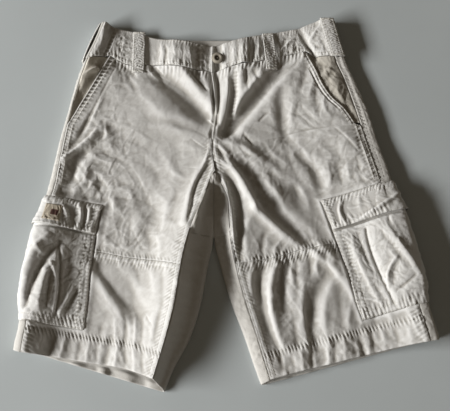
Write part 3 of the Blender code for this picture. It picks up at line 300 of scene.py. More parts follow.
DETAIL_BAND = [              # waistband
    (-192, 296, -195, 268, -206, 242, 2.4, 3.0, 2.4, 5, 9),
    (-179, 291, -183, 268, -191, 243, -2.4, -3.4, -2.6, 7, 5),
    (-21.5, 262, -22.5, 238, -21.5, 212, 3.8, 2.8, 3.6, 6.5, 1.8),
    (33, 270, 34, 246, 32, 222, 2.6, 3.0, 2.0, 4, 26),
    (-46, 264, -49, 240, -45, 214, 1.2, 2.0, 1.4, 5, 8),
    (-32, 262, -33, 240, -32, 213, -1.5, -2.6, -2.0, 7, 7),
    (-48, 256, -40, 263, -33, 255, 1.0, 2.2, 1.0, 2.0, 2.0),
    (-45, 244, -38, 248, -31, 243, 0.6, 1.8, 0.8, 1.8, 1.8),
    (-44, 232, -37, 236, -30, 231, 0.6, 1.6, 0.8, 1.8, 1.8),
    (-43, 221, -36, 224, -29, 220, 0.6, 1.4, 0.6, 1.6, 1.6),
    (-32, 262, -31, 240, -30, 214, 0.4, 1.2, 0.6, 1.6, 1.6),
    (119, 292, 129, 264, 143, 241, -3.4, -3.8, -2.6, 2.2, 2.2),
    (112, 290, 122, 266, 134, 246, 1.0, 1.6, 0.8, 4, 3),
    (-8, 264, -8.5, 238, -9.5, 210, -5.0, -5.8, -5.0, 5, 10),
    (-166, 288, -160, 268, -166, 244, 0.6, 1.2, 0.5, 3, 3),
    (-172, 262, -158, 258, -148, 260, -0.4, -0.8, -0.4, 2, 2),
    (-116, 280, -118, 256, -120, 228, -2, -3.4, -2.6, 4.5, 4),
    (-105, 276, -101, 256, -102, 230, 0.6, 1.6, 0.8, 3.5, 3.5),
    (-95, 258, -93, 244, -96, 226, -1.4, -2.2, -1.6, 2.5, 2.5),
    (-84, 270, -80, 250, -84, 224, 0.6, 1.4, 0.8, 5, 4),
    (-70, 268, -66, 248, -68, 222, -0.4, -1, -0.6, 2.5, 2.5),
    (-60, 268, -56, 252, -54, 236, 0.6, 1.4, 0.6, 3, 3),
    (-49, 262, -40, 256, -36, 262, 0.6, 1.6, 0.4, 2.2, 2.2),
    (-34, 262, -36, 240, -33, 214, -0.6, -1.4, -1, 2.5, 2.5),
    (-27, 260, -27, 238, -26, 212, 0.6, 1, 0.8, 2, 2),
    (-12, 262, -12, 254, -12, 246, -4, -5, -2.4, 5.5, 5.5),
    (-12, 224, -12, 218, -12, 212, -1.2, -1.8, -1.8, 5, 5),
    (-2, 262, -1, 240, -2, 214, 1.2, 1.8, 1.4, 2.5, 2.2),
    (6, 266, 7, 246, 6, 222, -0.7, -1.2, -0.8, 2, 2),
    (13, 268, 14, 248, 12, 224, 0.6, 1.2, 0.6, 2.2, 2.2),
    (20, 270, 21, 250, 19, 224, -0.7, -1.3, -0.8, 2, 2),
    (28, 272, 28, 250, 28, 224, 0.6, 1.2, 0.6, 2.4, 2.4),
    (43, 275, 46, 256, 44, 228, -1.0, -2.0, -1.4, 2.4, 2.4),
    (53, 278, 54, 258, 52, 230, 0.8, 1.6, 0.8, 2.6, 2.6),
    (84, 280, 84, 256, 86, 230, -0.8, -1.4, -0.8, 3.0, 3),
    (112, 274, 100, 264, 88, 250, 0.8, 1.8, 0.8, 2.4, 2.4),
    (104, 284, 96, 268, 92, 240, -0.4, -1.2, -0.5, 3, 3),
    (108, 258, 106, 248, 106, 238, 0.5, 1.2, 0.5, 3, 3),
    (116, 280, 112, 262, 116, 244, -0.5, -1.2, -0.5, 3, 3),
    (150, 291, 141, 278, 133, 264, 1.2, 2.2, 0.8, 3, 3),
    (140, 262, 148, 256, 156, 254, -0.5, -1.2, -0.5, 3, 3),
    (150, 272, 156, 262, 160, 248, -0.5, -1.2, -0.5, 3, 3),
]
FACING_FOLDS = [
    (-211, 250, -217, 234, -225, 221, 5.0, 5.0, 2.0, 12, 5),
    (-196, 244, -206, 228, -214, 216, -1.5, -2.5, -1.5, 8, 6),
    (-236, 200, -219, 208, -202, 217, 3.0, 8.0, 11.5, 4.5, 6),
    (-228, 186, -230, 172, -238, 152, -1.2, -2.2, -1.0, 6, 6),
    (170, 216, 164, 207, 160, 198, -1.4, -2.8, -1, 5, 4),
    (146, 238, 154, 224, 160, 210, -1, -2.2, -1.5, 6, 5),
    (158, 214, 163, 218, 172, 212, 1.0, 2.2, 0.6, 2.5, 2.5),
    (156, 222, 160, 210, 170, 196, 0.6, 1.6, 0.6, 3, 3),
    (180, 196, 176, 180, 188, 164, 0.5, 1.6, 0.6, 4, 4),
    (190, 176, 190, 160, 200, 146, -0.6, -1.4, -0.4, 4, 4),
    (168, 232, 174, 206, 196, 150, 0.6, 1.5, 0.9, 8, 13),
]

# ------------------------------------------------------------------ cut lines
WAIST_TOP_R = [(-190, 298), (-170, 290), (-140, 284), (-110, 274), (-75, 269), (-40, 263), (-8, 258)]
WAIST_SEAM_R = [(-217, 234), (-200, 239), (-183, 242), (-150, 228), (-115, 227), (-70, 221), (-8, 213)]
WAIST_TOP_L = [(-22, 259), (15, 268), (50, 277), (85, 284), (118, 291), (140, 299), (158, 305)]
WAIST_SEAM_L = [(-22, 213), (15, 223), (50, 229), (90, 241), (128, 249), (147, 240), (173, 240)]
POCKET_SLANT_R = [(-183, 242), (-200, 208), (-221, 168), (-243, 127)]
POCKET_SLANT_L = [(128, 249), (142, 222), (153, 195), (168, 170), (188, 150), (203, 126)]
FLY_EDGE = [(-22, 213), (-20, 205), (-17, 180), (-15, 152), (-17, 130), (-20, 110)]
KNEE_SEAM_R = [(-276, -76), (-196, -73), (-150, -81), (-110, -87), (-65, -98)]
KNEE_SEAM_L = [(263, -68), (168, -62), (120, -70), (70, -84), (14, -93)]
HEM_R = [(-294, -223), (-250, -229), (-200, -237), (-150, -245), (-102, -261)]
HEM_L = [(297, -207), (250, -216), (200, -228), (150, -240), (100, -252), (65, -262)]
BACK_R = {"waist": (232, 234, 222, 222), "hem": (-218, -223, -278, -261)}
BACK_L = {"waist": (239, 240, 222, 222), "hem": (-204, -207, -268, -262)}
APEX_Y, LIP_Z = -52, 3.0
SEAT_RISE = [(-52, 3.0), (-38, 7.5), (-20, 12.5), (0, 14.5), (14, 15.5), (24, 17.5), (32, 21.0), (40, 22.0), (47, 19.5)]

CARGO_COLUMNS = ("leg", "pocket_top", "pocket_bottom", "pocket_in_top", "pocket_in_bottom",
                 "flap_top", "flap_bottom", "flap_in_top", "flap_in_bottom", "fall", "bulge")
CARGO = [
    ("right", 2, -176, 87, 95, 12, -33, 90, 84, 0.15, 6.0),
    ("left", 26, -150, 112, 101, 35, -12, 116, 107, 0.26, 4.0),
]
POCKET_FOLDS = [
    (-270, -50, -292, -100, -293, -160, 1, 3, 1, 9, 12),
    (188, -50, 210, -100, 238, -158, 1, 3, 1, 8, 8),
    (240, -40, 268, -80, 290, -112, 1, 3, 1, 8, 20),
]
DETAIL_POCKET = [
    (-262, -50, -288, -88, -300, -140, 2, 3.5, 2, 7, 5),
    (-243, -62, -271, -100, -290, -156, -4, -7.5, -6, 5.5, 6),
    (-262, -104, -268, -132, -271, -162, 1.6, 3.0, 1.8, 4, 5),
    (-256, -108, -258, -132, -260, -156, -1.5, -3, -1.5, 3, 3),
    (-256, -92, -247, -122, -250, -160, 1.4, 2.2, 1.4, 2.0, 2.0),
    (-245, -60, -243, -120, -247, -168, -2.0, -3.4, -2.4, 2, 2.4),
    (-216, -56, -219, -90, -222, -122, 0.6, 1.2, 0.4, 8, 8),
    (-242, -166, -233, -146, -224, -128, 1.5, 2.8, 1.2, 3.0, 3.5),
    (-234, -164, -225, -146, -218, -130, -1.0, -2.2, -1.0, 3.5, 3.5),
    (-236, -70, -232, -92, -236, -116, -0.6, -1.4, -0.6, 5, 4),
    (-282, -56, -276, -70, -262, -84, 0.8, 1.8, 0.8, 3, 3),
    (-290, -158, -284, -166, -270, -172, 0.6, 1.5, 0.6, 3, 3),
    (190, -54, 203, -98, 230, -156, 1.2, 2.6, 1.5, 4, 4),
    (199, -46, 209, -80, 222, -112, -0.8, -1.2, -0.6, 3.0, 3.0),
    (211, -40, 222, -90, 251, -161, -3.4, -4.8, -3.6, 1.7, 1.9),
    (219, -42, 230, -90, 258, -158, 0.6, 1.2, 0.8, 5, 3),
    (252, -85, 241, -106, 241, -130, 1.6, 3.0, 1.4, 2.4, 2.6),
    (258, -86, 248, -108, 247, -128, -0.8, -1.8, -0.8, 4, 4),
    (278, -112, 264, -124, 250, -134, -1.4, -2.6, -1.0, 2.8, 3),
    (240, -40, 267, -78, 289, -116, 1.2, 2.2, 1.2, 3, 7),
    (232, -46, 250, -72, 268, -98, -1.0, -2.4, -1.0, 5, 5),
    (182, -60, 190, -96, 204, -140, -0.8, -1.8, -0.8, 4, 4),
    (216, -116, 228, -136, 240, -156, -0.6, -1.6, -0.6, 4, 4),
    (262, -136, 266, -146, 276, -156, 0.6, 1.6, 0.6, 4, 4),
    (246, -18, 244, -26, 246, -34, -1.2, -2.0, -0.8, 2.4, 2.4),
]
DETAIL_FLAP = [
    (-222, 6, -217, -18, -222, -40, 2.0, 3.6, 2.0, 4, 4),
    (-206, -4, -205, -18, -208, -32, 1.4, 2.8, 1.4, 3, 3),
    (-213, 2, -211, -18, -214, -38, -1.6, -2.6, -1.2, 3, 3),
    (-246, -4, -239, -14, -235, -26, 1.2, 2.4, 0.8, 3, 3),
    (-236, 2, -230, -14, -230, -36, -1.4, -2.8, -1.2, 3.5, 3.5),
    (-250, -12, -247, -24, -246, -36, -1.0, -2.0, -1.0, 3.5, 3.0),
    (-196, -8, -196, -26, -200, -44, -0.4, -1, -0.4, 3, 3),
    (193, -32, 226, -12, 266, 16, 1.2, 4.4, 2.4, 3.5, 2.6),
    (176, 2, 173, -14, 182, -32, 1.0, 3.2, 1.2, 3, 2.6),
    (168, 4, 167, -12, 175, -33, -0.8, -2.0, -0.8, 2.4, 2.4),
    (184, 6, 181, -12, 188, -30, -0.8, -1.6, -0.6, 3, 3),
    (225, 30, 223, 8, 226, -8, -1.6, -3.6, -1.4, 2.4, 4.0),
    (205, 20, 202, 2, 206, -16, 0.6, 1.6, 0.6, 4, 4),
    (160, 2, 160, -16, 166, -36, -0.4, -1, -0.4, 3, 3),
    (240, 24, 244, 10, 252, -4, -0.6, -1.4, -0.6, 4, 4),
]

# name, x_top, y_top, x_foot, y_foot, width, stand
LOOPS = [
    ("belt_loop_front_right", -137, 284.5, -137.5, 213, 19.0, 0.8),
    ("belt_loop_front_left", 68, 281.0, 74, 216, 18.0, 2.2),
]
EDGE_LOOPS = [
    {"name": "belt_loop_side_right", "top_y": 295, "foot_y": 229, "in": 3.0, "out": -9.0, "stand": 2.4},
    {"name": "belt_loop_side_left", "top_y": 304, "foot_y": 238, "in": 21.0, "out": 3.0, "stand": 0.8},
]
BACK_LOOP = {"x": -17, "top_y": 272, "foot_y": 205, "width": 18}
BUTTON = {"x": -11.7, "y": 235.3, "radius": 9.6, "height": 4.2}
ROLL_STEPS = (0.0, 0.4, 0.75, 1.0)


# -------------------------------------------------------------------- kernel
def hermite(q, xs, ys):
    """Monotone cubic through the table (xs rising, ys), read at q."""
    q = np.asarray(q, float)
    xs = np.asarray(xs, float)
    ys = np.asarray(ys, float)
    d = np.diff(ys) / np.diff(xs)
    m = np.zeros(len(xs))
    m[0], m[-1] = d[0], d[-1]
    same = d[:-1] * d[1:] > 0
    m[1:-1] = np.where(same, 2 * d[:-1] * d[1:] / np.where(same, d[:-1] + d[1:], 1), 0)
    q = np.clip(q, xs[0], xs[-1])
    k = np.clip(np.searchsorted(xs, q, side="right") - 1, 0, len(xs) - 2)
    h = xs[k + 1] - xs[k]
    t = (q - xs[k]) / h
    return ((2 * t**3 - 3 * t**2 + 1) * ys[k] + (t**3 - 2 * t**2 + t) * h * m[k]
            + (-2 * t**3 + 3 * t**2) * ys[k + 1] + (t**3 - t**2) * h * m[k + 1])


def smooth(a, b, v):
    t = np.clip((np.asarray(v, float) - a) / (b - a), 0, 1)
    return t * t * (3 - 2 * t)


class Leg:
    def __init__(self, rows, sign, lip):
        order = sorted(rows)
        self.ys = [r[0] for r in order]
        self.col = {n: [r[i] for r in order] for i, n in enumerate(SECTION_COLUMNS)}
        self.sign = sign
        self.lip = [(r[0], r[LIP_COLUMNS.index(lip)]) for r in LIP_PROFILE]

    def at(self, name, y):
        return hermite(y, self.ys, self.col[name])

    def base(self, x, y):
        u = (x - self.at("seam", y)) / (self.at("inner", y) - self.at("seam", y))
        u = np.clip(u, 0, 1) * 4
        h = np.stack(np.broadcast_arrays(*[self.at(n, y) for n in SECTION_COLUMNS[5:]]), -1)
        k = np.clip(np.floor(u).astype(int), 0, 3)
        t = u - k
        pick = lambda i: np.take_along_axis(h, i[..., None], -1)[..., 0]
        a, b = pick(k), pick(k + 1)
        ma = np.where(k > 0, (b - pick(np.maximum(k - 1, 0))) / 2, 0)
        mb = np.where(k < 3, (pick(np.minimum(k + 2, 4)) - a) / 2, 0)
        return ((2 * t**3 - 3 * t**2 + 1) * a + (t**3 - 2 * t**2 + t) * ma
                + (-2 * t**3 + 3 * t**2) * b + (t**3 - t**2) * mb)


RIGHT = Leg(RIGHT_LEG, -1, "right")
LEFT = Leg(LEFT_LEG, 1, "left")


def relief(x, y, rows, power=2.0):
    """Sum of the folds at plan points."""
    x, y = np.broadcast_arrays(np.asarray(x, float), np.asarray(y, float))
    shape = x.shape
    x, y = x.reshape(-1), y.reshape(-1)
    out = np.zeros(x.shape)
    for row in rows:
        r = dict(zip(FOLD_COLUMNS, row))
        p0, p1, p2 = [np.array([r["x%d" % i], r["y%d" % i]], float) for i in range(3)]
        c = 2 * p1 - (p0 + p2) / 2
        pts = np.array([(1 - t)**2 * p0 + 2 * t * (1 - t) * c + t * t * p2 for t in np.linspace(0, 1, 9)])
        far = 3.2 * max(r["w_left"], r["w_right"])
        lo, hi = pts.min(0) - far, pts.max(0) + far
        m = np.nonzero((x > lo[0]) & (x < hi[0]) & (y > lo[1]) & (y < hi[1]))[0]
        if not len(m):
            continue
        xm, ym = x[m], y[m]
        best = np.full(xm.shape, 1e9)
        side = np.zeros(xm.shape)
        along = np.zeros(xm.shape)
        for i in range(8):
            ax, ay = pts[i]
            dx, dy = pts[i + 1] - pts[i]
            t = np.clip(((xm - ax) * dx + (ym - ay) * dy) / (dx * dx + dy * dy), 0, 1)
            ex, ey = xm - ax - t * dx, ym - ay - t * dy
            dd = ex * ex + ey * ey
            near = dd < best
            best = np.where(near, dd, best)
            side = np.where(near, dx * ey - dy * ex, side)
            along = np.where(near, (i + t) / 8, along)
        w = np.where(side > 0, r["w_left"], r["w_right"])
        h = hermite(along, [0, 0.5, 1], [r["h0"], r["h1"], r["h2"]])
        q = best / (w * w)
        out[m] += h * (np.exp(-q) if power == 2.0 else np.exp(-np.power(q + 0.02, power / 2)))
    return out.reshape(shape)


class Noise:
    """Smooth gradient noise, about -1 to 1."""

    def __init__(self, seed):
        a = np.random.RandomState(seed).rand(64, 64) * 2 * math.pi
        self.gx, self.gy = np.cos(a), np.sin(a)

    def __call__(self, x, y):
        x, y = np.broadcast_arrays(np.asarray(x, float), np.asarray(y, float))
        xi, yi = np.floor(x).astype(int), np.floor(y).astype(int)
        fx, fy = x - xi, y - yi
        u = fx**3 * (fx * (fx * 6 - 15) + 10)
        v = fy**3 * (fy * (fy * 6 - 15) + 10)
        def g(i, j):
            a, b = (yi + j) & 63, (xi + i) & 63
            return self.gx[a, b] * (fx - i) + self.gy[a, b] * (fy - j)
        top_ = g(0, 0) * (1 - u) + g(1, 0) * u
        low_ = g(0, 1) * (1 - u) + g(1, 1) * u
        return 1.6 * (top_ * (1 - v) + low_ * v)


N = [Noise(k) for k in range(12)]


def crumple(x, y, size, seed, angle=0.0, stretch=1.0):
    """A net of soft creases: ridges where one noise passes zero, troughs where another does."""
    c, s = math.cos(math.radians(angle)), math.sin(math.radians(angle))
    u, v = (x * c + y * s) / size, (-x * s + y * c) / (size * stretch)
    a, b = N[seed % 12], N[(seed + 5) % 12]
    wu = u + 0.55 * a(u * 0.6 + 9.1, v * 0.6 - 3.7)
    wv = v + 0.55 * b(u * 0.6 - 5.3, v * 0.6 + 6.2)
    n1, n2 = N[(seed + 1) % 12](wu, wv), N[(seed + 2) % 12](wu + 7.7, wv + 2.1)
    r1 = np.exp(-np.abs(n1) * 5.5)
    r2 = np.exp(-np.abs(n2) * 5.5)
    return r1 - r2


# how rumpled the cloth is: x, y, radius x, radius y, added amount
RUMPLED = [
    (-180, 110, 45, 55, 0.9), (-160, 215, 45, 30, 0.7), (-225, 50, 45, 45, 0.8), (-60, 215, 50, 30, 0.4),
    (-110, 60, 60, 60, 0.25), (-150, -60, 60, 25, 0.6), (-150, -210, 60, 40, 0.6), (-250, -215, 60, 20, 0.1),
    (20, 80, 45, 40, 0.8), (60, 50, 50, 50, 0.6), (150, 190, 40, 45, 0.9), (180, 100, 45, 50, 0.6),
    (170, 45, 60, 25, 0.8), (100, -80, 90, 30, 0.9), (90, -160, 60, 60, 0.6), (180, -215, 110, 25, 0.9),
    (110, 130, 45, 50, 0.5), (40, 210, 40, 25, 0.5), (-205, 80, 40, 60, 0.7), (-190, 20, 50, 30, 0.8), (-135, -30, 60, 50, 0.7), (215, 60, 30, 50, 0.7),
]


def rumple_amount(x, y):
    a = 0.42 + 0 * x
    for cx, cy, rx, ry, k in RUMPLED:
        a = a + k * np.exp(-((x - cx) / rx)**2 - ((y - cy) / ry)**2)
    return a


def micro(x, y):
    """Fine wrinkles of washed cotton, in millimetres of height."""
    k = rumple_amount(x, y)
    z = 0.46 * crumple(x, y, 34.0, 1, 35, 1.5) + 0.75 * N[7](x / 26.0 + 0.4 * y / 26.0, y / 19.0)
    z = z + 0.26 * crumple(x, y, 17.0, 3, -30, 1.6) + 0.26 * N[10](x / 10.0 - 0.3 * y / 10.0, y / 8.0)
    z = z + 0.13 * crumple(x, y, 8.0, 6, 20, 1.3)
    z = z + 0.035 * N[9](x / 2.6, y / 2.6)
    return k * z


def top(leg, x, y):
    """Middle height of the upper layer, as the solids have it."""
    z = leg.base(x, y) + relief(x, y, FOLDS)
    k = 1.3
    return LOW + k * np.logaddexp(0, (z - LOW) / k)


def cargo_cover(leg, x, y, soft=5.0):
    """1 where the panel lies under its cargo pocket."""
    r = dict(zip(CARGO_COLUMNS, CARGO[0] if leg is RIGHT else CARGO[1]))
    a = leg.sign * (leg.at("edge", y) - x)
    lv = y + r["fall"] * np.maximum(a, 0)
    v = np.clip((r["flap_top"] - lv) / (r["flap_top"] - r["pocket_bottom"]), 0, 1)
    inset = r["flap_in_top"] + (r["pocket_in_bottom"] - r["flap_in_top"]) * v
    return (smooth(0, soft, inset - a) * smooth(0, soft, r["flap_top"] - lv)
            * smooth(0, soft, lv - r["pocket_bottom"]))


def beside_cargo(leg, x, y):
    """Rise of the panel towards the sewn edges of pocket and flap."""
    r = dict(zip(CARGO_COLUMNS, CARGO[0] if leg is RIGHT else CARGO[1]))
    a = leg.sign * (leg.at("edge", y) - x)
    lv = y + r["fall"] * np.maximum(a, 0)
    v = np.clip((r["flap_top"] - lv) / (r["flap_top"] - r["pocket_bottom"]), 0, 1)
    inset = r["flap_in_top"] + (r["pocket_in_bottom"] - r["flap_in_top"]) * v
    d = np.maximum(np.maximum(a - inset, lv - r["flap_top"]), r["pocket_bottom"] - lv)
    return 1.5 * np.exp(-(np.maximum(d - 1.0, 0) / 5.0)**2) * smooth(-1.5, 1.0, d)


def cloth_top(leg, x, y):
    """Middle height of the upper layer with its smaller creases."""
    free = 1 - cargo_cover(leg, x, y)
    d = relief(x, y, DETAIL_RIGHT if leg is RIGHT else DETAIL_LEFT, 1.7)
    z = leg.base(x, y) + relief(x, y, FOLDS) + d * free
    k = 1.3
    z = LOW + k * np.logaddexp(0, (z - LOW) / k)
    return z + micro(x, y) * (0.15 + 0.85 * free) + beside_cargo(leg, x, y)


def floor(x, y):
    b = BACK_LOOP
    near = 1 - smooth(b["width"] / 2 + 4, b["width"] / 2 + 50, abs(x - b["x"]))
    return FLOOR + (LIFT + 0.4) * near * smooth(b["foot_y"] - 40, b["foot_y"] - 12, y)


def edge(leg, y, a, high=None):
    """Panel round the outer edge: a runs in from the outline, under if negative."""
    high = high or top
    y, a = np.broadcast_arrays(np.asarray(y, float), np.asarray(a, float))
    xe, xs = leg.at("edge", y), leg.at("seam", y)
    wide = abs(xe - xs)
    zs = high(leg, xs, y)
    zm = 0.45 * zs
    t = np.clip(1 - a / wide, 0, 1) * math.pi / 2
    f = np.clip(-a / ROLL_UNDER, 0, 1) * math.pi / 2
    over = a >= wide
    roll = (a >= 0) & ~over
    x = np.where(over, xe - leg.sign * a,
                 np.where(roll, xs + (xe - xs) * np.sin(t),
                          np.where(a > -ROLL_UNDER, xe - leg.sign * ROLL_UNDER * (1 - np.cos(f)),
                                   xe + leg.sign * a)))
    zf = floor(x, y)
    full = 0.8 if leg is RIGHT else 0.2
    z = np.where(roll, zm + (zs - zm) * np.power(np.maximum(np.cos(t), 1e-6), full), zf + (zm - zf) * (1 - np.sin(f)))
    if over.any():
        z = np.where(over, high(leg, x, y), z)
    return np.stack([x, y + 0 * x, z], -1)


def curve(points, n):
    p = np.array(points, float)
    s = np.concatenate([[0], np.cumsum(np.linalg.norm(np.diff(p, axis=0), axis=1))])
    q = np.linspace(0, s[-1], n + 1)
    return np.stack([hermite(q, s, p[:, 0]), hermite(q, s, p[:, 1])], -1)


def level(leg, name, y0, y1, n, shift=0.0):
    y = np.linspace(y0, y1, n + 1)
    return np.stack([leg.at(name, y) + shift, y], -1)


def patch(a, b, left, right):
    nu, nv = len(a) - 1, len(left) - 1
    u = np.linspace(0, 1, nu + 1)[None, :, None]
    v = np.linspace(0, 1, nv + 1)[:, None, None]
    return ((1 - v) * a[None] + v * b[None] + (1 - u) * left[:, None] + u * right[:, None]
            - (1 - u) * (1 - v) * a[0] - u * (1 - v) * a[-1] - (1 - u) * v * b[0] - u * v * b[-1])


def shrink(grid, amount):
    g = grid.copy()
    for axis in (0, 1):
        s = np.swapaxes(g, 0, axis)
        for e, n in ((0, 3), (-1, -4)):
            d = s[n] - s[e]
            s[e] += d / np.linalg.norm(d, axis=-1, keepdims=True) * amount
    return g


def centre(leg, y0, y1, n):
    y = np.linspace(y0, y1, n + 1)
    if leg is LEFT:
        x = np.where(y >= 104, fly_x(y), leg.at("inner", y) + SEAM)
        x = np.where((y < 104) & (y > 48), np.interp(y, [48, 62, 80, 104], [-14.4, -16.4, -19.4, -20.2]), x)
    else:
        lap = FLY_LAP * smooth(112, 150, y)
        x = np.where(y >= 104, fly_x(y) + lap - 0.7, leg.at("inner", y) - SEAM)
        x = np.where((y < 104) & (y > 48), np.interp(y, [48, 62, 80, 104], [-15.6, -17.6, -20.6, -21.4]), x)
    return np.stack([x, y], -1)


def fly_x(y):
    rows = FLY_EDGE[::-1]
    return hermite(y, [p[1] for p in rows], [p[0] for p in rows])


def outward(p, up=None):
    """Unit normals of a grid of points; up: a cell that looks up."""
    n = np.cross(np.gradient(p, axis=1), np.gradient(p, axis=0))
    n /= np.maximum(np.linalg.norm(n, axis=-1, keepdims=True), 1e-12)
    j, i = up or (n.shape[0] // 2, 1)
    return n if n[j, i, 2] > 0 else -n


def arc(p, axis):
    """Distance along a grid of points from its first row (0) or column (1)."""
    d = np.linalg.norm(np.diff(p, axis=axis), axis=-1)
    z = np.zeros_like(np.take(d, [0], axis=axis))
    return np.concatenate([z, np.cumsum(d, axis=axis)], axis=axis)


# ------------------------------------------------------------ seams, stitches
def stitched(d, s, seed, rows=(1.8, 8.2), band=0.55, width=9.4, pucker=0.5, reach=9.0, pitch=6.0, lean=0.4, inside=0.6):
    """Height that a topstitched edge adds at distance d from it and s along it."""
    z = band * (1 - smooth(width - 1.4, width + 1.2, d))
    for r in rows:
        z = z - 0.34 * np.exp(-((d - r) / 0.9)**2)
    if rows and band > 0:
        mid = (rows[0] + rows[-1]) / 2
        half = max((rows[-1] - rows[0]) / 2, 1.5)
        z = z + 0.22 * np.clip(1 - ((d - mid) / half)**2, 0, 1)
    a, b = N[seed % 12], N[(seed + 3) % 12]
    drift = 2.6 * a(s / 21.0, 0.37 + 0 * s)
    wave = teeth(s + lean * d, pitch, drift)
    wave2 = np.sin(2 * math.pi * (s - 0.3 * d) / (pitch * 2.3) + 2.2 * b(s / 34.0, 1.7 + 0 * s))
    amp = pucker * (0.55 + 0.8 * np.clip(b(s / 26.0, 5.2 + 0 * s) + 0.35, 0, 1))
    fall = np.where(d < width, inside + (1 - inside) * smooth(width * 0.5, width, d), 1) * np.exp(-(np.maximum(d - width, 0) / reach)**2)
    rim = smooth(-0.5, 1.6, d)
    return z + amp * (0.75 * wave + 0.5 * wave2) * fall * rim


def track(x, y, points, n=20):
    """Signed distance from a plan curve, positive on its left, and distance along it."""
    pts = curve(points, n)
    seg = np.linalg.norm(np.diff(pts, axis=0), axis=1)
    start = np.concatenate([[0], np.cumsum(seg)])
    best = np.full(x.shape, 1e9)
    side, along = np.zeros(x.shape), np.zeros(x.shape)
    for i in range(n):
        ax, ay = pts[i]
        dx, dy = pts[i + 1] - pts[i]
        t = np.clip(((x - ax) * dx + (y - ay) * dy) / (dx * dx + dy * dy), 0, 1)
        ex, ey = x - ax - t * dx, y - ay - t * dy
        dd = ex * ex + ey * ey
        near = dd < best
        best = np.where(near, dd, best)
        side = np.where(near, dx * ey - dy * ex, side)
        along = np.where(near, start[i] + t * seg[i], along)
    return np.sqrt(best) * np.sign(side + 1e-12), along


def ladder(d, s, width=8.2, depth=1.2, pitch=7.0, lean=0.15, seed=4):
    """Two raised rails with rungs and hollows between, d running from the first rail."""
    drift = 1.6 * N[seed](s / 30.0, 0.4 + 0 * s)
    rung = 0.5 + 0.5 * teeth(s + lean * d, pitch, drift)
    inside = smooth(0.5, 1.8, d) * (1 - smooth(width - 1.8, width - 0.5, d))
    z = 0.5 * np.exp(-((d - 0.2) / 1.0)**2) + 0.6 * np.exp(-((d - width) / 1.2)**2)
    return z - depth * inside * (1 - 0.9 * rung)


def line_teeth(d, s, amount=0.5, pitch=5.2, width=4.5, lean=0.3, seed=6):
    """Short puckers across a row of stitches."""
    w = teeth(s + lean * d, pitch, 2.4 * N[seed](s / 24.0, 1.1 + 0 * s))
    return amount * w * np.exp(-(d / width)**2)


def teeth(s, pitch, drift):
    """Uneven row of rounded ridges with sharper hollows between."""
    w = np.sin(2 * math.pi * s / pitch + drift)
    return 0.75 * w + 0.25 * np.sign(w) * np.abs(w)**0.5


STITCHES = {}


def thread(group, line, normal, pitch=3.3, length=2.4, radius=0.26, lift=0.02, zig=0.0, start=0.0):
    """Stitches along a line of points; they're gathered by group and made at the end."""
    line = np.asarray(line, float)
    normal = np.asarray(normal, float)
    s = np.concatenate([[0], np.cumsum(np.linalg.norm(np.diff(line, axis=0), axis=1))])
    n = int((s[-1] - 1.5 - start) / pitch)
    if n < 1:
        return
    c = start + 1.2 + pitch * np.arange(n)
    at = lambda q, f: np.stack([np.interp(q, s, f[:, k]) for k in range(3)], -1)
    p0, p1 = at(c - length / 2, line), at(c + length / 2, line)
    nn = at(c, normal)
    nn /= np.linalg.norm(nn, axis=1, keepdims=True)
    d = p1 - p0
    ln = np.linalg.norm(d, axis=1, keepdims=True)
    d = d / np.maximum(ln, 1e-9)
    side = np.cross(nn, d)
    if zig:
        k = np.where(np.arange(n) % 2 == 0, 1.0, -1.0)[:, None]
        d = d * 0.55 + side * k * zig
        d /= np.linalg.norm(d, axis=1, keepdims=True)
        side = np.cross(nn, d)
    mid = (p0 + p1) / 2 + nn * (lift + radius * 0.35)
    STITCHES.setdefault(group, []).append((mid, d * length, nn * radius, side * radius * 1.15))


def line_at(p, dist, d):
    """Points of a grid at distance d, where dist grows along axis 1; also their normals."""
    n = outward(p)
    out, nor = [], []
    for j in range(p.shape[0]):
        i = int(np.clip(np.searchsorted(dist[j], d), 1, p.shape[1] - 1))
        t = (d - dist[j, i - 1]) / max(dist[j, i] - dist[j, i - 1], 1e-9)
        t = min(max(t, 0.0), 1.0)
        out.append(p[j, i - 1] * (1 - t) + p[j, i] * t)
        nor.append(n[j, i])
    return np.array(out), np.array(nor)


def flip_t(p):
    return np.swapaxes(p, 0, 1)


class Panel:
    """A fine grid of cloth points with its distances from each of its four sides."""

    def __init__(self, p):
        self.p = p                       # rows run down, columns from the first side to the second
        du, dv = arc(p, 1), arc(p, 0)
        self.first, self.last = du, du[:, -1:] - du
        self.top, self.low = dv, dv[-1:] - dv

    def finish(self, p):
        self.q = p

    def row(self, side, d, lo=0.0, hi=1.0):
        """Line at distance d from a side, between fractions lo and hi of its length."""
        p = self.q
        if side == "first":
            line, n = line_at(p, self.first, d)
        elif side == "last":
            line, n = line_at(p[:, ::-1], self.last[:, ::-1], d)
        elif side == "top":
            line, n = line_at(flip_t(p), self.top.T, d)
        else:
            line, n = line_at(flip_t(p[::-1]), self.low[::-1].T, d)
        m = len(line)
        a, b = int(lo * (m - 1)), int(hi * (m - 1)) + 1
        if n[m // 2][2] < 0:
            n = -n
        return line[a:b], n[a:b]


# ----------------------------------------------------------------- mesh making
TRIANGLES = {}


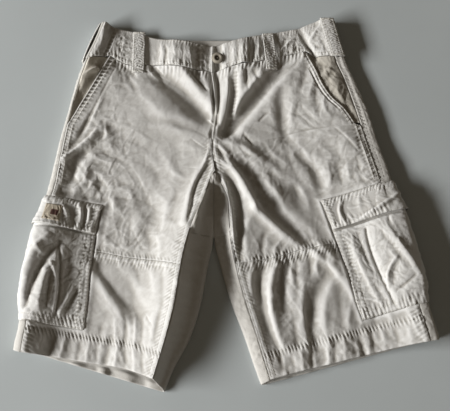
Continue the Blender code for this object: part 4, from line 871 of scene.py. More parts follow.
def crease_shade_of(p):
    """Painted light and shade for the cloth colour: lighter on crests, darker in creases, from how far the grid stands
    off its own average.
    """
    z = p[..., 2]
    def blur(a, k):
        for axis in (0, 1):
            pad = np.concatenate([np.repeat(np.take(a, [0], axis), k, axis), a,
                                  np.repeat(np.take(a, [-1], axis), k, axis)], axis)
            c = np.cumsum(pad, axis)
            n = 2 * k + 1
            head = np.take(c, range(n - 1, c.shape[axis]), axis)
            tail = np.concatenate([np.zeros_like(np.take(c, [0], axis)), np.take(c, range(0, c.shape[axis] - n), axis)], axis)
            a = (head - tail) / n
        return a
    k1, k2 = 2, 6
    if min(z.shape) < 16:
        return np.full(z.shape, 0.5)
    fine = z - blur(blur(z, k1), k1)
    wide = z - blur(blur(z, k2), k2)
    return np.clip(0.5 + 0.55 * np.tanh(fine * 1.6) + 0.25 * np.tanh(wide * 0.5), 0, 1)


def build(name, verts, quads, tris, tone, mat):
    verts = np.asarray(verts, float)
    v = np.empty_like(verts)
    v[:, 0] = (verts[:, 0] + SHIFT_X) * MM
    v[:, 1] = (verts[:, 1] + SHIFT_Y) * MM
    v[:, 2] = verts[:, 2] * MM
    quads = np.asarray(quads, int).reshape(-1, 4)
    tris = np.asarray(tris, int).reshape(-1, 3)
    me = bpy.data.meshes.new(name)
    me.vertices.add(len(v))
    me.vertices.foreach_set("co", v.reshape(-1))
    loops = np.concatenate([quads.reshape(-1), tris.reshape(-1)])
    me.loops.add(len(loops))
    me.loops.foreach_set("vertex_index", loops)
    start = np.concatenate([np.arange(len(quads)) * 4, len(quads) * 4 + np.arange(len(tris)) * 3])
    me.polygons.add(len(start))
    me.polygons.foreach_set("loop_start", start)
    me.polygons.foreach_set("use_smooth", np.ones(len(start), bool))
    me.update(calc_edges=True)
    if tone is not None:
        at = me.attributes.new("tone", "FLOAT", "POINT")
        at.data.foreach_set("value", np.asarray(tone, float).reshape(-1))
    me.validate()
    me.materials.append(mat)
    ob = bpy.data.objects.new(name, me)
    bpy.context.scene.collection.objects.link(ob)
    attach(ob, "root")
    TRIANGLES[name] = 2 * len(quads) + len(tris)
    return ob


def shell(name, p, thick, mat, coarse=3, normals=None, up=None, tone=None):
    """Closed thin shell under a fine grid: the grid is its outer face, the inner one is coarser."""
    rows, cols = p.shape[:2]
    n = outward(p, up) if normals is None else normals
    ri = np.unique(np.concatenate([np.arange(0, rows - 1, coarse), [rows - 1]]))
    ci = np.unique(np.concatenate([np.arange(0, cols - 1, coarse), [cols - 1]]))
    # which way the grid's faces look
    j, i = up or (rows // 2, 1)
    j, i = min(j, rows - 2), min(i, cols - 2)
    d = np.cross(p[j + 1, i + 1] - p[j, i], p[j + 1, i] - p[j, i + 1])
    flip = d @ n[j, i] < 0
    k = np.arange(rows * cols).reshape(rows, cols)
    outer = np.stack([k[:-1, :-1], k[:-1, 1:], k[1:, 1:], k[1:, :-1]], -1).reshape(-1, 4)
    inner_p = (p - n * thick)[np.ix_(ri, ci)]
    m = rows * cols + np.arange(len(ri) * len(ci)).reshape(len(ri), len(ci))
    inner = np.stack([m[:-1, :-1], m[1:, :-1], m[1:, 1:], m[:-1, 1:]], -1).reshape(-1, 4)
    tris = []
    for fine, rough, pos, rev in ((k[0], m[0], ci, False), (k[-1], m[-1], ci, True),
                                  (k[:, 0], m[:, 0], ri, True), (k[:, -1], m[:, -1], ri, False)):
        part = []
        for t in range(len(pos) - 1):
            a, b = pos[t], pos[t + 1]
            mid = (a + b) // 2
            part += [(fine[q], rough[t], fine[q + 1]) for q in range(a, mid)]
            part.append((fine[mid], rough[t], rough[t + 1]))
            part += [(fine[q], rough[t + 1], fine[q + 1]) for q in range(mid, b)]
        part = np.array(part)
        tris.append(part[:, ::-1] if rev else part)
    tris = np.concatenate(tris)
    if flip:
        outer, inner, tris = outer[:, ::-1], inner[:, ::-1], tris[:, ::-1]
    # painted shade: unless a tone is given, the cloth colour darkens in creases and lightens on crests
    tone = crease_shade_of(p) if tone is None else tone
    verts = np.concatenate([p.reshape(-1, 3), inner_p.reshape(-1, 3)])
    tones = np.concatenate([tone.reshape(-1), np.full(m.size, 0.45)])
    return build(name, verts, np.concatenate([outer, inner]), tris, tones, mat)


def thick_wall(name, pts, quads, up_t, dn_t, mat, upright=(), facing=None, tone=None):
    """Closed solid about a middle surface of quads, both faces alike."""
    pts, quads = np.asarray(pts, float), np.asarray(quads, int)
    n = np.zeros_like(pts)
    fn = np.cross(pts[quads[:, 2]] - pts[quads[:, 0]], pts[quads[:, 3]] - pts[quads[:, 1]])
    for k in range(4):
        np.add.at(n, quads[:, k], fn)
    n /= np.maximum(np.linalg.norm(n, axis=1, keepdims=True), 1e-12)
    for i in upright:
        n[i] = (0, 0, 1 if n[i, 2] > 0 else -1)
    for i, d in (facing or {}).items():
        n[i] = d
    m = len(pts)
    e = np.concatenate([quads[:, [0, 1]], quads[:, [1, 2]], quads[:, [2, 3]], quads[:, [3, 0]]])
    code = e[:, 0] * m + e[:, 1]
    back = e[:, 1] * m + e[:, 0]
    rim = e[~np.isin(code, back)]
    q = np.concatenate([quads, quads[:, ::-1] + m, np.stack([rim[:, 1], rim[:, 0], rim[:, 0] + m, rim[:, 1] + m], -1)])
    v = np.concatenate([pts + n * up_t, pts - n * dn_t])
    v[:, 2] = np.maximum(v[:, 2], 0.02)
    t = np.full(2 * m, 0.5) if tone is None else np.concatenate([tone, np.full(m, 0.5)])
    return build(name, v, q, [], t, mat)


# ------------------------------------------------------------------ materials
def node(tree, kind, **values):
    n = tree.nodes.new(kind)
    for k, v in values.items():
        if k.startswith("in_"):
            n.inputs[k[3:].replace("_", " ")].default_value = v
        else:
            setattr(n, k, v)
    return n


def twill(name, dark, light, bump=0.5, weave=720.0, mottle=0.10):
    """Washed cotton twill: diagonal weave, slubs, uneven wash, and painted light and shade from the tone attribute:
    lighter crests, darker creases.
    """
    m = bpy.data.materials.new(name)
    m.use_nodes = True
    t = m.node_tree
    p = t.nodes["Principled BSDF"]
    link = t.links.new
    co = node(t, "ShaderNodeTexCoord")
    wash = node(t, "ShaderNodeTexNoise", in_Scale=26.0, in_Detail=5.0, in_Roughness=0.6)
    slub = node(t, "ShaderNodeTexNoise", in_Scale=420.0, in_Detail=3.0, in_Roughness=0.7)
    fibre = node(t, "ShaderNodeTexNoise", in_Scale=1500.0, in_Detail=2.0)
    diag = node(t, "ShaderNodeTexWave", wave_type="BANDS", bands_direction="DIAGONAL", in_Scale=weave,
                in_Distortion=1.4, in_Detail=1.5)
    for n in (wash, slub, fibre, diag):
        link(co.outputs["Object"], n.inputs["Vector"])
    att = node(t, "ShaderNodeAttribute", attribute_name="tone")
    # how light: tone (painted shade in creases, painted light on crests), then wash and slubs
    a = node(t, "ShaderNodeMath", operation="MULTIPLY_ADD")
    link(wash.outputs["Fac"], a.inputs[0])
    a.inputs[1].default_value = mottle * 2
    a.inputs[2].default_value = -mottle
    b = node(t, "ShaderNodeMath", operation="MULTIPLY_ADD")
    link(slub.outputs["Fac"], b.inputs[0])
    b.inputs[1].default_value = 0.30
    link(a.outputs[0], b.inputs[2])
    c = node(t, "ShaderNodeMath", operation="MULTIPLY_ADD")
    link(diag.outputs["Fac"], c.inputs[0])
    c.inputs[1].default_value = 0.14
    link(b.outputs[0], c.inputs[2])
    d = node(t, "ShaderNodeMath", operation="ADD")
    link(att.outputs["Fac"], d.inputs[0])
    link(c.outputs[0], d.inputs[1])
    ramp = node(t, "ShaderNodeValToRGB")
    ramp.color_ramp.elements[0].position = 0.20
    ramp.color_ramp.elements[0].color = (*dark, 1)
    ramp.color_ramp.elements[1].position = 1.0
    ramp.color_ramp.elements[1].color = (*light, 1)
    link(d.outputs[0], ramp.inputs["Fac"])
    link(ramp.outputs["Color"], p.inputs["Base Color"])
    rough = node(t, "ShaderNodeMapRange")
    rough.inputs["To Min"].default_value = 0.84
    rough.inputs["To Max"].default_value = 0.97
    link(slub.outputs["Fac"], rough.inputs["Value"])
    link(rough.outputs["Result"], p.inputs["Roughness"])
    p.inputs["Sheen Weight"].default_value = 0.12
    p.inputs["Sheen Roughness"].default_value = 0.5
    p.inputs["Specular IOR Level"].default_value = 0.25
    h = node(t, "ShaderNodeMath", operation="MULTIPLY_ADD")
    link(diag.outputs["Fac"], h.inputs[0])
    h.inputs[1].default_value = 0.5
    hs = node(t, "ShaderNodeMath", operation="MULTIPLY_ADD")
    link(slub.outputs["Fac"], hs.inputs[0])
    hs.inputs[1].default_value = 1.0
    link(fibre.outputs["Fac"], hs.inputs[2])
    link(hs.outputs[0], h.inputs[2])
    bm = node(t, "ShaderNodeBump", in_Strength=bump, in_Distance=0.00022)
    link(h.outputs[0], bm.inputs["Height"])
    link(bm.outputs["Normal"], p.inputs["Normal"])
    return m


def plain_thread(name, colour):
    m = bpy.data.materials.new(name)
    m.use_nodes = True
    t = m.node_tree
    p = t.nodes["Principled BSDF"]
    co = node(t, "ShaderNodeTexCoord")
    n = node(t, "ShaderNodeTexNoise", in_Scale=900.0, in_Detail=2.0)
    t.links.new(co.outputs["Object"], n.inputs["Vector"])
    r = node(t, "ShaderNodeValToRGB")
    r.color_ramp.elements[0].color = (*[c * 0.8 for c in colour], 1)
    r.color_ramp.elements[1].color = (*[min(1, c * 1.15) for c in colour], 1)
    t.links.new(n.outputs["Fac"], r.inputs["Fac"])
    t.links.new(r.outputs["Color"], p.inputs["Base Color"])
    p.inputs["Roughness"].default_value = 0.75
    return m


def metal(name):
    """Dull antique nickel: tarnish in the hollows, worn rim."""
    m = bpy.data.materials.new(name)
    m.use_nodes = True
    t = m.node_tree
    p = t.nodes["Principled BSDF"]
    co = node(t, "ShaderNodeTexCoord")
    n = node(t, "ShaderNodeTexNoise", in_Scale=260.0, in_Detail=6.0, in_Roughness=0.65)
    t.links.new(co.outputs["Object"], n.inputs["Vector"])
    att = node(t, "ShaderNodeAttribute", attribute_name="tone")
    a = node(t, "ShaderNodeMath", operation="MULTIPLY_ADD")
    t.links.new(n.outputs["Fac"], a.inputs[0])
    a.inputs[1].default_value = 0.5
    t.links.new(att.outputs["Fac"], a.inputs[2])
    r = node(t, "ShaderNodeValToRGB")
    r.color_ramp.elements[0].position = 0.25
    r.color_ramp.elements[0].color = (0.13, 0.108, 0.078, 1)
    r.color_ramp.elements[1].position = 1.0
    r.color_ramp.elements[1].color = (0.42, 0.385, 0.32, 1)
    t.links.new(a.outputs[0], r.inputs["Fac"])
    t.links.new(r.outputs["Color"], p.inputs["Base Color"])
    p.inputs["Metallic"].default_value = 0.2
    q = node(t, "ShaderNodeMapRange")
    q.inputs["To Min"].default_value = 0.52
    q.inputs["To Max"].default_value = 0.74
    t.links.new(n.outputs["Fac"], q.inputs["Value"])
    t.links.new(q.outputs["Result"], p.inputs["Roughness"])
    b = node(t, "ShaderNodeBump", in_Strength=0.25, in_Distance=0.0002)
    t.links.new(n.outputs["Fac"], b.inputs["Height"])
    t.links.new(b.outputs["Normal"], p.inputs["Normal"])
    return m


M_TWILL = twill("cotton_twill", (0.43, 0.412, 0.376), (0.745, 0.737, 0.715))
M_BACK = twill("cotton_twill_back", (0.42, 0.396, 0.353), (0.72, 0.705, 0.67))
M_FACING = twill("cotton_facing", (0.50, 0.46, 0.385), (0.74, 0.70, 0.62))
# darker copy of the facing's tan, used for the left facing: painted shade
M_FACING_SHADED = twill("cotton_facing_painted_shade", (0.31, 0.285, 0.24), (0.545, 0.515, 0.455))
M_THREAD = plain_thread("cotton_thread", (0.66, 0.64, 0.58))
M_METAL = metal("antique_nickel")


# ---------------------------------------------------------------------- front
def fine_side(leg, slant, y_bottom, step):
    length = np.linalg.norm(np.diff(np.array(slant, float), axis=0), axis=1).sum()
    n1 = max(8, int(round(length / step)))
    n2 = max(8, int(round((slant[-1][1] - y_bottom) / step)))
    down = curve(slant, n1)
    seam = level(leg, "seam", slant[-1][1], y_bottom, n2)
    return np.concatenate([down, seam[1:]])


def rim_drop(pan, sides, depth=0.55, width=1.5):
    z = 0
    for s in sides:
        d = getattr(pan, s)
        z = z - depth * np.clip(1 - d / width, 0, 1)**2
    return z


FLAT = {}


def declare(name, w, l, area, rests):
    FLAT[name] = (w, l, area, rests)


def fronts():
    for leg, tag, slant, waist, knee, hem in (
            (RIGHT, "right", POCKET_SLANT_R, WAIST_SEAM_R[2:], KNEE_SEAM_R, HEM_R),
            (LEFT, "left", POCKET_SLANT_L, WAIST_SEAM_L[:5][::-1], KNEE_SEAM_L, HEM_L)):
        # hip to knee seam
        cols = 176
        kn = curve(knee, cols)
        outer = fine_side(leg, slant, kn[0][1], STEP)
        rows = len(outer) - 1
        kn[0][0] = outer[-1][0]
        inner = centre(leg, 213, kn[-1][1], rows)
        kn[-1][0] = inner[-1][0]
        wa = curve(waist, cols)
        wa[-1] = inner[0]
        g = shrink(patch(wa, kn, outer, inner), SEAM)
        x, y = g[..., 0], g[..., 1]
        z = cloth_top(leg, x, y)
        if leg is RIGHT:
            lap = smooth(-5.5, -2.0, x - fly_x(y)) * smooth(96, 112, y)
            z = z * (1 - lap) + lap * np.minimum(z, cloth_top(LEFT, x, y) - 2.4)
        pan = Panel(np.stack([x, y, 0 * x], -1))
        free = 1 - cargo_cover(leg, x, y)
        y_sl = slant[-1][1]
        on_slant = smooth(y_sl - 6, y_sl + 2, y)
        # slanted mouth: ladder of stitches on a puckered band; below it the side seam
        d, s = pan.first, y
        if leg is RIGHT:
            lad = ladder(d - 0.8, s / 0.86, depth=1.7, seed=4) * (0.35 + 0.65 * smooth(140, 165, y)) + line_teeth(d - 10.0, s, 0.35, 6.0, 4.0, 0.3, 3)
        else:
            k = smooth(146, 158, y) * (1 - smooth(210, 224, y))
            lad = (0.45 * np.exp(-((d - 1.4) / 1.3)**2) + 0.5 * np.exp(-((d - 6.2) / 1.5)**2) - 0.3 * np.exp(-((d - 3.6) / 0.8)**2)
                   - 2.0 * k * np.exp(-((d - 8.8) / 1.3)**2) + line_teeth(d - 4.0, s, 0.42, 5.6, 5.0, 0.4, 2))
        out = stitched(d, s, 5, rows=(1.8, 8.4), band=0.5, width=9.6, pucker=0.25 if leg is RIGHT else 0.5, reach=6.0, pitch=5.6, lean=0.5, inside=0.9)
        rails = ladder(d - 0.8, y / 0.9, 8.0, 0.7 if leg is LEFT else 0.8, 6.4, 0.5, 7) * smooth(30, 44, y)
        z = z + (lad * on_slant + (out + rails) * (1 - on_slant)) * free
        # pocket bag stitched through: a faint line beside the mouth
        if leg is RIGHT:
            z = z + relief(x, y, [(-172, 226, -186, 194, -202, 158, -0.5, -0.7, -0.5, 1.5, 1.5),
                                  (-202, 158, -212, 138, -222, 116, -0.5, -0.6, -0.3, 1.5, 1.5)])
        # crotch seam and inseam
        d = pan.last
        low_part = 1 - smooth(92, 112, y)
        z = z + low_part * stitched(d, y, 7, rows=(1.8, 7.6), band=0.6, width=8.8, pucker=0.55, reach=6.0, pitch=5.4, lean=0.6, inside=0.9)
        if leg is LEFT:                     # fly: raised edge, J stitch
            z = z + (1 - low_part) * (0.5 * (1 - smooth(1.5, 4, d)) - 0.3 * np.exp(-((d - 5.0) / 0.9)**2))
            z = z - 0.35 * np.exp(-((x - j_x(y)) / 1.1)**2) * smooth(118, 128, y)
            z = z + 0.25 * np.sin(2 * math.pi * y / 6.5 + 2 * N[3](y / 20, 0 * y)) * np.exp(-((x - j_x(y)) / 6.0)**2) * smooth(112, 130, y)
        # gathers under the waistband
        d, s = pan.top, x
        gath = stitched(d, s, 9, rows=(), band=0.0, width=1.0, pucker=0.72, reach=10.0, pitch=6.2, lean=0.15, inside=1.0)
        z = z + gath
        # puckers above the knee seam
        d = pan.low
        z = z + free * stitched(d, x, 10, rows=(), band=0.0, width=0.5, pucker=0.60 if leg is RIGHT else 0.95, reach=6.0, pitch=5.0, lean=0.35, inside=1.0)
        z = z + 0.55 * free * (1 - smooth(0.5, 4.0, pan.low))
        z = z + rim_drop(pan, ("first", "top")) + rim_drop(pan, ("low", "last"), 0.1)
        z = np.maximum(z, 1.9)
        p = np.stack([x, y, z + 0.7], -1)
        pan.finish(p)
        name = "front_%s_upper" % tag
        shell(name + "_cloth", p, 1.2, M_TWILL)
        fr_sl = len(curve(slant, 8)) and (np.abs(y[:, 0] - y_sl)).argmin() / rows
        grp = "stitching_" + tag
        for dd in (1.6, 8.6):
            thread(grp, *pan.row("first", dd, 0.0, fr_sl))
        c_top = (np.abs(y[:, 0] - (12 if leg is RIGHT else 35))).argmin() / rows
        for dd in (1.8, 8.4):
            thread(grp, *pan.row("first", dd, fr_sl, c_top))
        f_in = (np.abs(y[:, -1] - 96)).argmin() / rows
        for dd in (1.8, 7.6):
            thread(grp, *pan.row("last", dd, f_in, 1.0))
        if leg is LEFT:
            thread(grp, *pan.row("last", 1.7, 0.0, f_in))
            yy = np.linspace(212, 118, 80)
            ln = np.stack([j_x(yy), yy, surface_at(pan, j_x(yy), yy)], -1)
            thread(grp, ln, np.tile([0, 0, 1.0], (80, 1)))
        declare(name, 0.27, 0.34, 0.0725, ["back_" + tag])
        # knee seam to hem
        cols = 160
        kn = curve(knee, cols)
        he = curve(hem, cols)
        rows = int(round(abs(kn[0][1] - he[0][1]) / STEP)) + 14
        outl = level(leg, "seam", kn[0][1], he[0][1], rows)
        inn = level(leg, "inner", kn[-1][1], he[-1][1], rows)
        kn[0], kn[-1], he[0], he[-1] = outl[0], inn[0], outl[-1], inn[-1]
        g = shrink(patch(kn, he, outl, inn), SEAM)
        g[0] += np.array([0, 0.12])
        x, y = g[..., 0], g[..., 1]
        z = cloth_top(leg, x, y)
        pan = Panel(np.stack([x, y, 0 * x], -1))
        free = 1 - cargo_cover(leg, x, y)
        z = z + free * stitched(pan.top, x, 10, rows=(1.8, 8.6), band=0.45, width=9.8, pucker=0.55 if leg is RIGHT else 0.95, reach=5.0, pitch=5.0, lean=0.35, inside=0.95)
        z = z + free * stitched(pan.first, y, 5, rows=(1.8, 8.4), band=0.5, width=9.6, pucker=0.55, reach=6.0, pitch=5.6, lean=0.5, inside=0.9)
        z = z + stitched(pan.last, y, 7, rows=(1.8, 7.6), band=0.6, width=8.8, pucker=0.55, reach=6.0, pitch=5.4, lean=0.6, inside=0.9)
        # hem: turned up 35 mm, roped between its edge and its stitches
        d = pan.low
        z = z + 0.6 * (1 - smooth(35, 37, d)) - 0.5 * np.exp(-((d - 34.5) / 0.9)**2)
        rope = np.sin(2 * math.pi * (x + 0.55 * d) / 11.0 + 2.4 * N[8](x / 33, 0 * x))
        z = z + 0.14 * rope * smooth(0, 4, d) * (1 - smooth(34, 42, d)) * (0.5 + 0.7 * np.clip(N[2](x / 40, 2.2 + 0 * x) + 0.4, 0, 1))
        z = z + line_teeth(d - 34.5, x, 0.85, 5.0, 5.0, 0.35, 6)
        z = z + rim_drop(pan, ("first", "low")) + rim_drop(pan, ("top", "last"), 0.2)
        p = np.stack([x, y, np.maximum(z, 1.9) + 0.75], -1)
        pan.finish(p)
        name = "front_%s_lower" % tag
        shell(name + "_cloth", p, 1.4, M_TWILL)
        clear = 0.30 if leg is RIGHT else 0.33
        for dd in (1.8, 8.6):
            thread(grp, *pan.row("top", dd, clear, 1.0))
        for dd in (1.8, 7.6):
            thread(grp, *pan.row("last", dd))
        thread(grp, *pan.row("low", 34.5))
        if leg is RIGHT:
            declare(name, 0.23, 0.18, 0.0375, ["back_" + tag])
        else:
            declare(name, 0.28, 0.18, 0.0445, ["back_" + tag])


def j_x(y):
    """The fly's J stitch: straight down, then curving in to the bar tack."""
    return hermite(y, [96, 106, 118, 132, 150, 213], [-16, -10, 0, 9, 15, 18])


def surface_at(pan, x, y):
    """Height of a panel's outer face at plan points (nearest grid points, weighed)."""
    q = pan.q
    out = []
    for a, b in zip(x, y):
        d = (q[..., 0] - a)**2 + (q[..., 1] - b)**2
        k = np.argpartition(d.reshape(-1), 4)[:4]
        w = 1 / (d.reshape(-1)[k] + 0.05)
        out.append((q[..., 2].reshape(-1)[k] * w).sum() / w.sum())
    return np.array(out)


# ----------------------------------------------------------------------- back
def backs():
    for name, leg, table, seam_in in (("back_right", RIGHT, BACK_R, -17 - 2 * SEAM),
                                      ("back_left", LEFT, BACK_L, -17 + 2 * SEAM)):
        rows = 330
        v = np.linspace(0, 1, rows)
        w, h = table["waist"], table["hem"]
        ye, ys, yl, yi = [w[k] + (h[k] - w[k]) * v for k in range(4)]
        apex = int(np.argmin(abs(yl - APEX_Y)))
        yl = np.interp(v, [0, v[apex], 1], [w[2], APEX_Y, h[2]])
        yi = np.interp(v, [0, v[apex], 1], [w[3], APEX_Y + 8, h[3]])
        wide = abs(leg.at("edge", ys) - leg.at("seam", ys))
        t = np.append(np.linspace(0, 1, 12)[:-1], (0.95, 0.98, 0.994, 1.0))
        a = wide[:, None] * (1 - t)[None, :]
        a[:, 0] -= 2 * SEAM
        a = np.concatenate([a, -ROLL_UNDER * np.linspace(0.12, 1.0, 8)[None, :] + 0 * wide[:, None]], 1)
        y = np.stack([np.interp(a[j], [-ROLL_UNDER, 0, wide[j]], [ye[j], ye[j], ys[j]]) for j in range(rows)])
        ring = edge(leg, y, a, cloth_edge)
        n = outward(ring, (rows // 2, 1))
        d_seam = arc(ring, 1)
        free = 1 - side_cover(leg, y)
        bump = 0.9 * crumple(d_seam * 1.3 + 40 * leg.sign, y, 17.0, 4, 20, 1.8) * 0.5 + 0.3 * crumple(d_seam, y, 9.0, 7, -20, 1.5)
        bump = bump * free * smooth(0, 3, d_seam) * (1 - smooth(-2, -9, a))
        if leg is LEFT:
            bump = bump + 1.1 * ladder(d_seam - 1.0, y / 0.9, 8.0, 1.4, 6.4, 0.5, 7) * smooth(118, 130, y) * (d_seam < 14)
        k = (0.9 if leg is LEFT else 0.5) * free * smooth(28, 44, y) * (1 - smooth(9, 12, d_seam))
        bump = bump + k * (teeth(y + 0.9 * d_seam, 5.6, 2 * N[5](y / 25, 0 * y)) * np.exp(-((d_seam - 4.6) / 3.4)**2)
                           - 0.8 * np.exp(-((d_seam - 1.8) / 0.9)**2) - 0.8 * np.exp(-((d_seam - 7.4) / 0.9)**2))
        ring = ring + n * bump[..., None]
        ends = np.where(np.arange(rows) < apex, seam_in, leg.at("lip", yl))
        n_floor = 66
        cols = [ring]
        xs, yb = ring[:, -1, 0], ring[:, -1, 1]
        xc = ends + leg.sign * 3.6
        k = np.linspace(0, 1, n_floor + 1)[1:]
        fx = xs[:, None] + (xc - xs)[:, None] * k
        fy = yb[:, None] + (yl - yb)[:, None] * k
        lie = floor(fx, fy) - 0.05
        # underneath: shallow creases that stand off the floor
        crease = np.maximum(0, crumple(fx, fy, 42.0, 2, 60, 1.6) - 0.15) * 1.3 + np.maximum(0, crumple(fx, fy, 22.0, 8, 15, 1.4) - 0.25) * 0.7
        fade = smooth(0.0, 0.1, k)[None, :] * (1 - smooth(0.93, 1.0, k))[None, :]
        lie = lie + crease * fade
        front_hem = curve(HEM_R if leg is RIGHT else HEM_L, 40)
        order = np.argsort(front_hem[:, 0])
        past = np.interp(fx, front_hem[order, 0], front_hem[order, 1]) - fy
        wavy = 2.6 + 1.6 * np.sin(fx / 6.0 + 1.5 * N[3](fx / 25.0, 0 * fx))
        for gx in ((-230, -186, -166, -116) if leg is RIGHT else (96, 140, 178, 232, 270)):
            wavy = wavy - 2.6 * np.exp(-((fx - gx) / 5.0)**2)
        lie = lie + np.maximum(wavy, 0.2) * smooth(1.0, 6.0, past) * smooth(0.02, 0.08, k)[None, :]
        cols.append(np.stack([fx, fy, lie], -1))
        endz = np.where(np.arange(rows) < apex, floor(ends, yl), LIP_Z)
        cols.append(np.stack([ends, yl, endz], -1)[:, None])
        main = np.concatenate(cols, 1)
        nc = main.shape[1]
        verts = [main.reshape(-1, 3)]
        index = np.arange(rows * nc).reshape(rows, nc)
        quads = [np.stack([index[:-1, :-1], index[:-1, 1:], index[1:, 1:], index[1:, :-1]], -1).reshape(-1, 4)]
        tone = [np.full(rows * nc, 0.5)]
        upright = list(index[:, 0]) + list(index[:apex, -1])
        lips = {int(i): (-leg.sign, 0, 0) for i in index[apex:, -1]}
        # from the lip up to the inseam, and the tongue up to the crotch
        across, share = [r[0] for r in leg.lip], [r[1] for r in leg.lip]
        seat_y, seat_z = [r[0] for r in SEAT_RISE], [r[1] for r in SEAT_RISE]
        steps = np.linspace(0, 1, 19)[1:]
        ty = np.linspace(seat_y[-1], seat_y[0], 48)[:-1]
        x1 = leg.at("inner", ty) - leg.sign * 3 * SEAM
        z1 = cloth_top(leg, x1, ty)
        z0 = hermite(ty, seat_y, seat_z)
        s0 = np.concatenate([[0.0], steps])
        near_lip = smooth(-15, APEX_Y, ty)[:, None]
        dip = share if leg is RIGHT else [0.0, 0.03, 0.12, 0.42, 1.0]
        rise = (1 - near_lip) * np.interp(s0, [0, 0.5, 1], [0, 0.4, 1]) + near_lip * hermite(s0, across, dip)
        tongue = np.stack([seam_in + (x1 - seam_in)[:, None] * s0, ty[:, None] + 0 * s0,
                           z0[:, None] + (z1 - z0)[:, None] * rise], -1)
        lip = main[apex:, -1]
        x1 = leg.at("inner", yi[apex:]) - leg.sign * 3 * SEAM
        z1 = cloth_top(leg, x1, yi[apex:])
        s1 = steps[None, :]
        low_y = smooth(-150, -105, yi[apex:])[:, None]
        up = np.stack([lip[:, :1] + (x1[:, None] - lip[:, :1]) * s1, lip[:, 1:2] + (yi[apex:, None] - lip[:, 1:2]) * s1,
                       lip[:, 2:3] + (z1[:, None] - lip[:, 2:3]) * (hermite(s1, across, share) + low_y * (hermite(s1, across, dip) - hermite(s1, across, share)))], -1)
        soft_t = wrinkle_inner(leg, tongue, s0[None, :])
        soft_u = wrinkle_inner(leg, up, s1)
        tongue[..., 2] += soft_t * smooth(0, 0.15, s0)[None, :] * (1 - smooth(0.9, 1.0, s0))[None, :]
        up[..., 2] += soft_u * smooth(0, 0.2, s1) * (1 - smooth(0.92, 1.0, s1))
        tongue[..., 2] += relief(tongue[..., 0], tongue[..., 1], [(-14, 50, -15, 38, -22, 22, 0, 5.0, 2.5, 7, 6)]) * (1 - smooth(0.85, 1.0, s0))[None, :]
        if leg is RIGHT:
            for g in (tongue, up):
                g[..., 2] += relief(g[..., 0], g[..., 1], [(-30, 12, -39, -14, -43, -42, 6, 11, 8, 5.0, 5.0)])
        base = rows * nc
        ti = base + np.arange(tongue.shape[0] * tongue.shape[1]).reshape(tongue.shape[:2])
        verts.append(tongue.reshape(-1, 3))
        base += ti.size
        ui = base + np.arange(up.shape[0] * up.shape[1]).reshape(up.shape[:2])
        verts.append(up.reshape(-1, 3))
        ui = np.concatenate([index[apex:, -1][:, None], ui], 1)
        both = np.concatenate([ti, ui], 0)
        quads.append(np.stack([both[:-1, :-1], both[:-1, 1:], both[1:, 1:], both[1:, :-1]], -1).reshape(-1, 4))
        tone += [np.full(tongue.shape[0] * tongue.shape[1], 0.5), np.full(up.shape[0] * up.shape[1], 0.5)]
        upright += list(ti[ty > -30, 0]) + list(ti[:, -1]) + list(ti[0]) + list(ui[:, -1])
        V, Q = np.concatenate(verts), np.concatenate(quads)
        if leg.sign > 0:
            Q = Q[:, ::-1]
        # lower the rims that meet a seam a little, so the seam shows
        for i in list(index[:, 0]) + list(both[:, -1]):
            V[i, 2] -= 0.35
        ob = thick_wall(name + "_cloth", V, Q, 0.7, 0.55, M_BACK, upright, lips, np.concatenate(tone))
        declare(name, 0.36, 0.52, 0.146, ["floor"])
        grp = "stitching_" + name[5:]
        pts = V[both][:, ::-1]
        nn = outward(pts, (pts.shape[0] // 2, 1))
        j0 = ti.shape[0]
        line = pts[:, 2]
        thread(grp, line + nn[:, 2] * 0.7, nn[:, 2])


def cloth_edge(leg, x, y):
    return cloth_top(leg, x, y)


def side_cover(leg, y):
    """1 where the cargo pocket lies over the rolled side."""
    r = dict(zip(CARGO_COLUMNS, CARGO[0] if leg is RIGHT else CARGO[1]))
    return smooth(0, 5, r["flap_top"] - y) * smooth(0, 5, y - r["pocket_bottom"])


def wrinkle_inner(leg, p, s):
    x, y = p[..., 0], p[..., 1]
    return 0.75 * crumple(x * 1.6, y, 16.0, 5, 80, 1.4) * 0.8 + 0.5 * np.sin(2 * math.pi * y / 13.0 + 2.5 * N[1](y / 30.0, 0 * y)) * np.sin(math.pi * np.clip(s, 0, 1))


# ------------------------------------------------------------------ waistband
def band_relief(x, y, top_d, low_d, end_d):
    z = relief(x, y, DETAIL_BAND, 1.7)
    for d, seed, rr in ((top_d, 3, (2.4,)), (low_d, 8, (2.0, 6.2))):
        z = z + stitched(d, x, seed, rows=rr, band=0.0, width=2.0, pucker=0.62, reach=8.0, pitch=4.9, lean=0.12, inside=1.0)
    z = z + 0.42 * crumple(x, y, 9.0, 4, 0, 2.6) + 0.30 * crumple(x, y, 6.0, 7, 0, 2.0)
    left_end = smooth(-178, -168, x) * (1 - smooth(-128, -120, x)) + 0.8 * smooth(86, 92, x) * (1 - 0.25 * smooth(118, 132, x))
    z = z + left_end * (0.55 * crumple(x, y, 11.0, 2, 75, 1.5) + 0.40 * crumple(x, y, 6.5, 9, 100, 1.6))
    dl, sl = track(x, y, [(-172, 291), (-178, 268), (-187, 243)])
    z = z + ladder(dl + 6.5, sl, 8.0, 1.1, 6.6, 0.1, 5) * (np.abs(dl + 2.5) < 8) * (x < -150)
    return z


def lean_of(x):
    """How far the band's top edge settles towards the surface."""
    return 0.5 + 0.3 * smooth(-192, -180, x) * (1 - smooth(-100, -80, x))


def loop_cover(x, y):
    c = 0
    for name, xt, yt, xf, yf, width, stand in LOOPS:
        t = np.clip((yt - y) / (yt - yf), 0, 1)
        c = np.maximum(c, 1 - smooth(width / 2 - 2.5, width / 2 - 0.3, abs(x - (xt + (xf - xt) * t))))
    return c


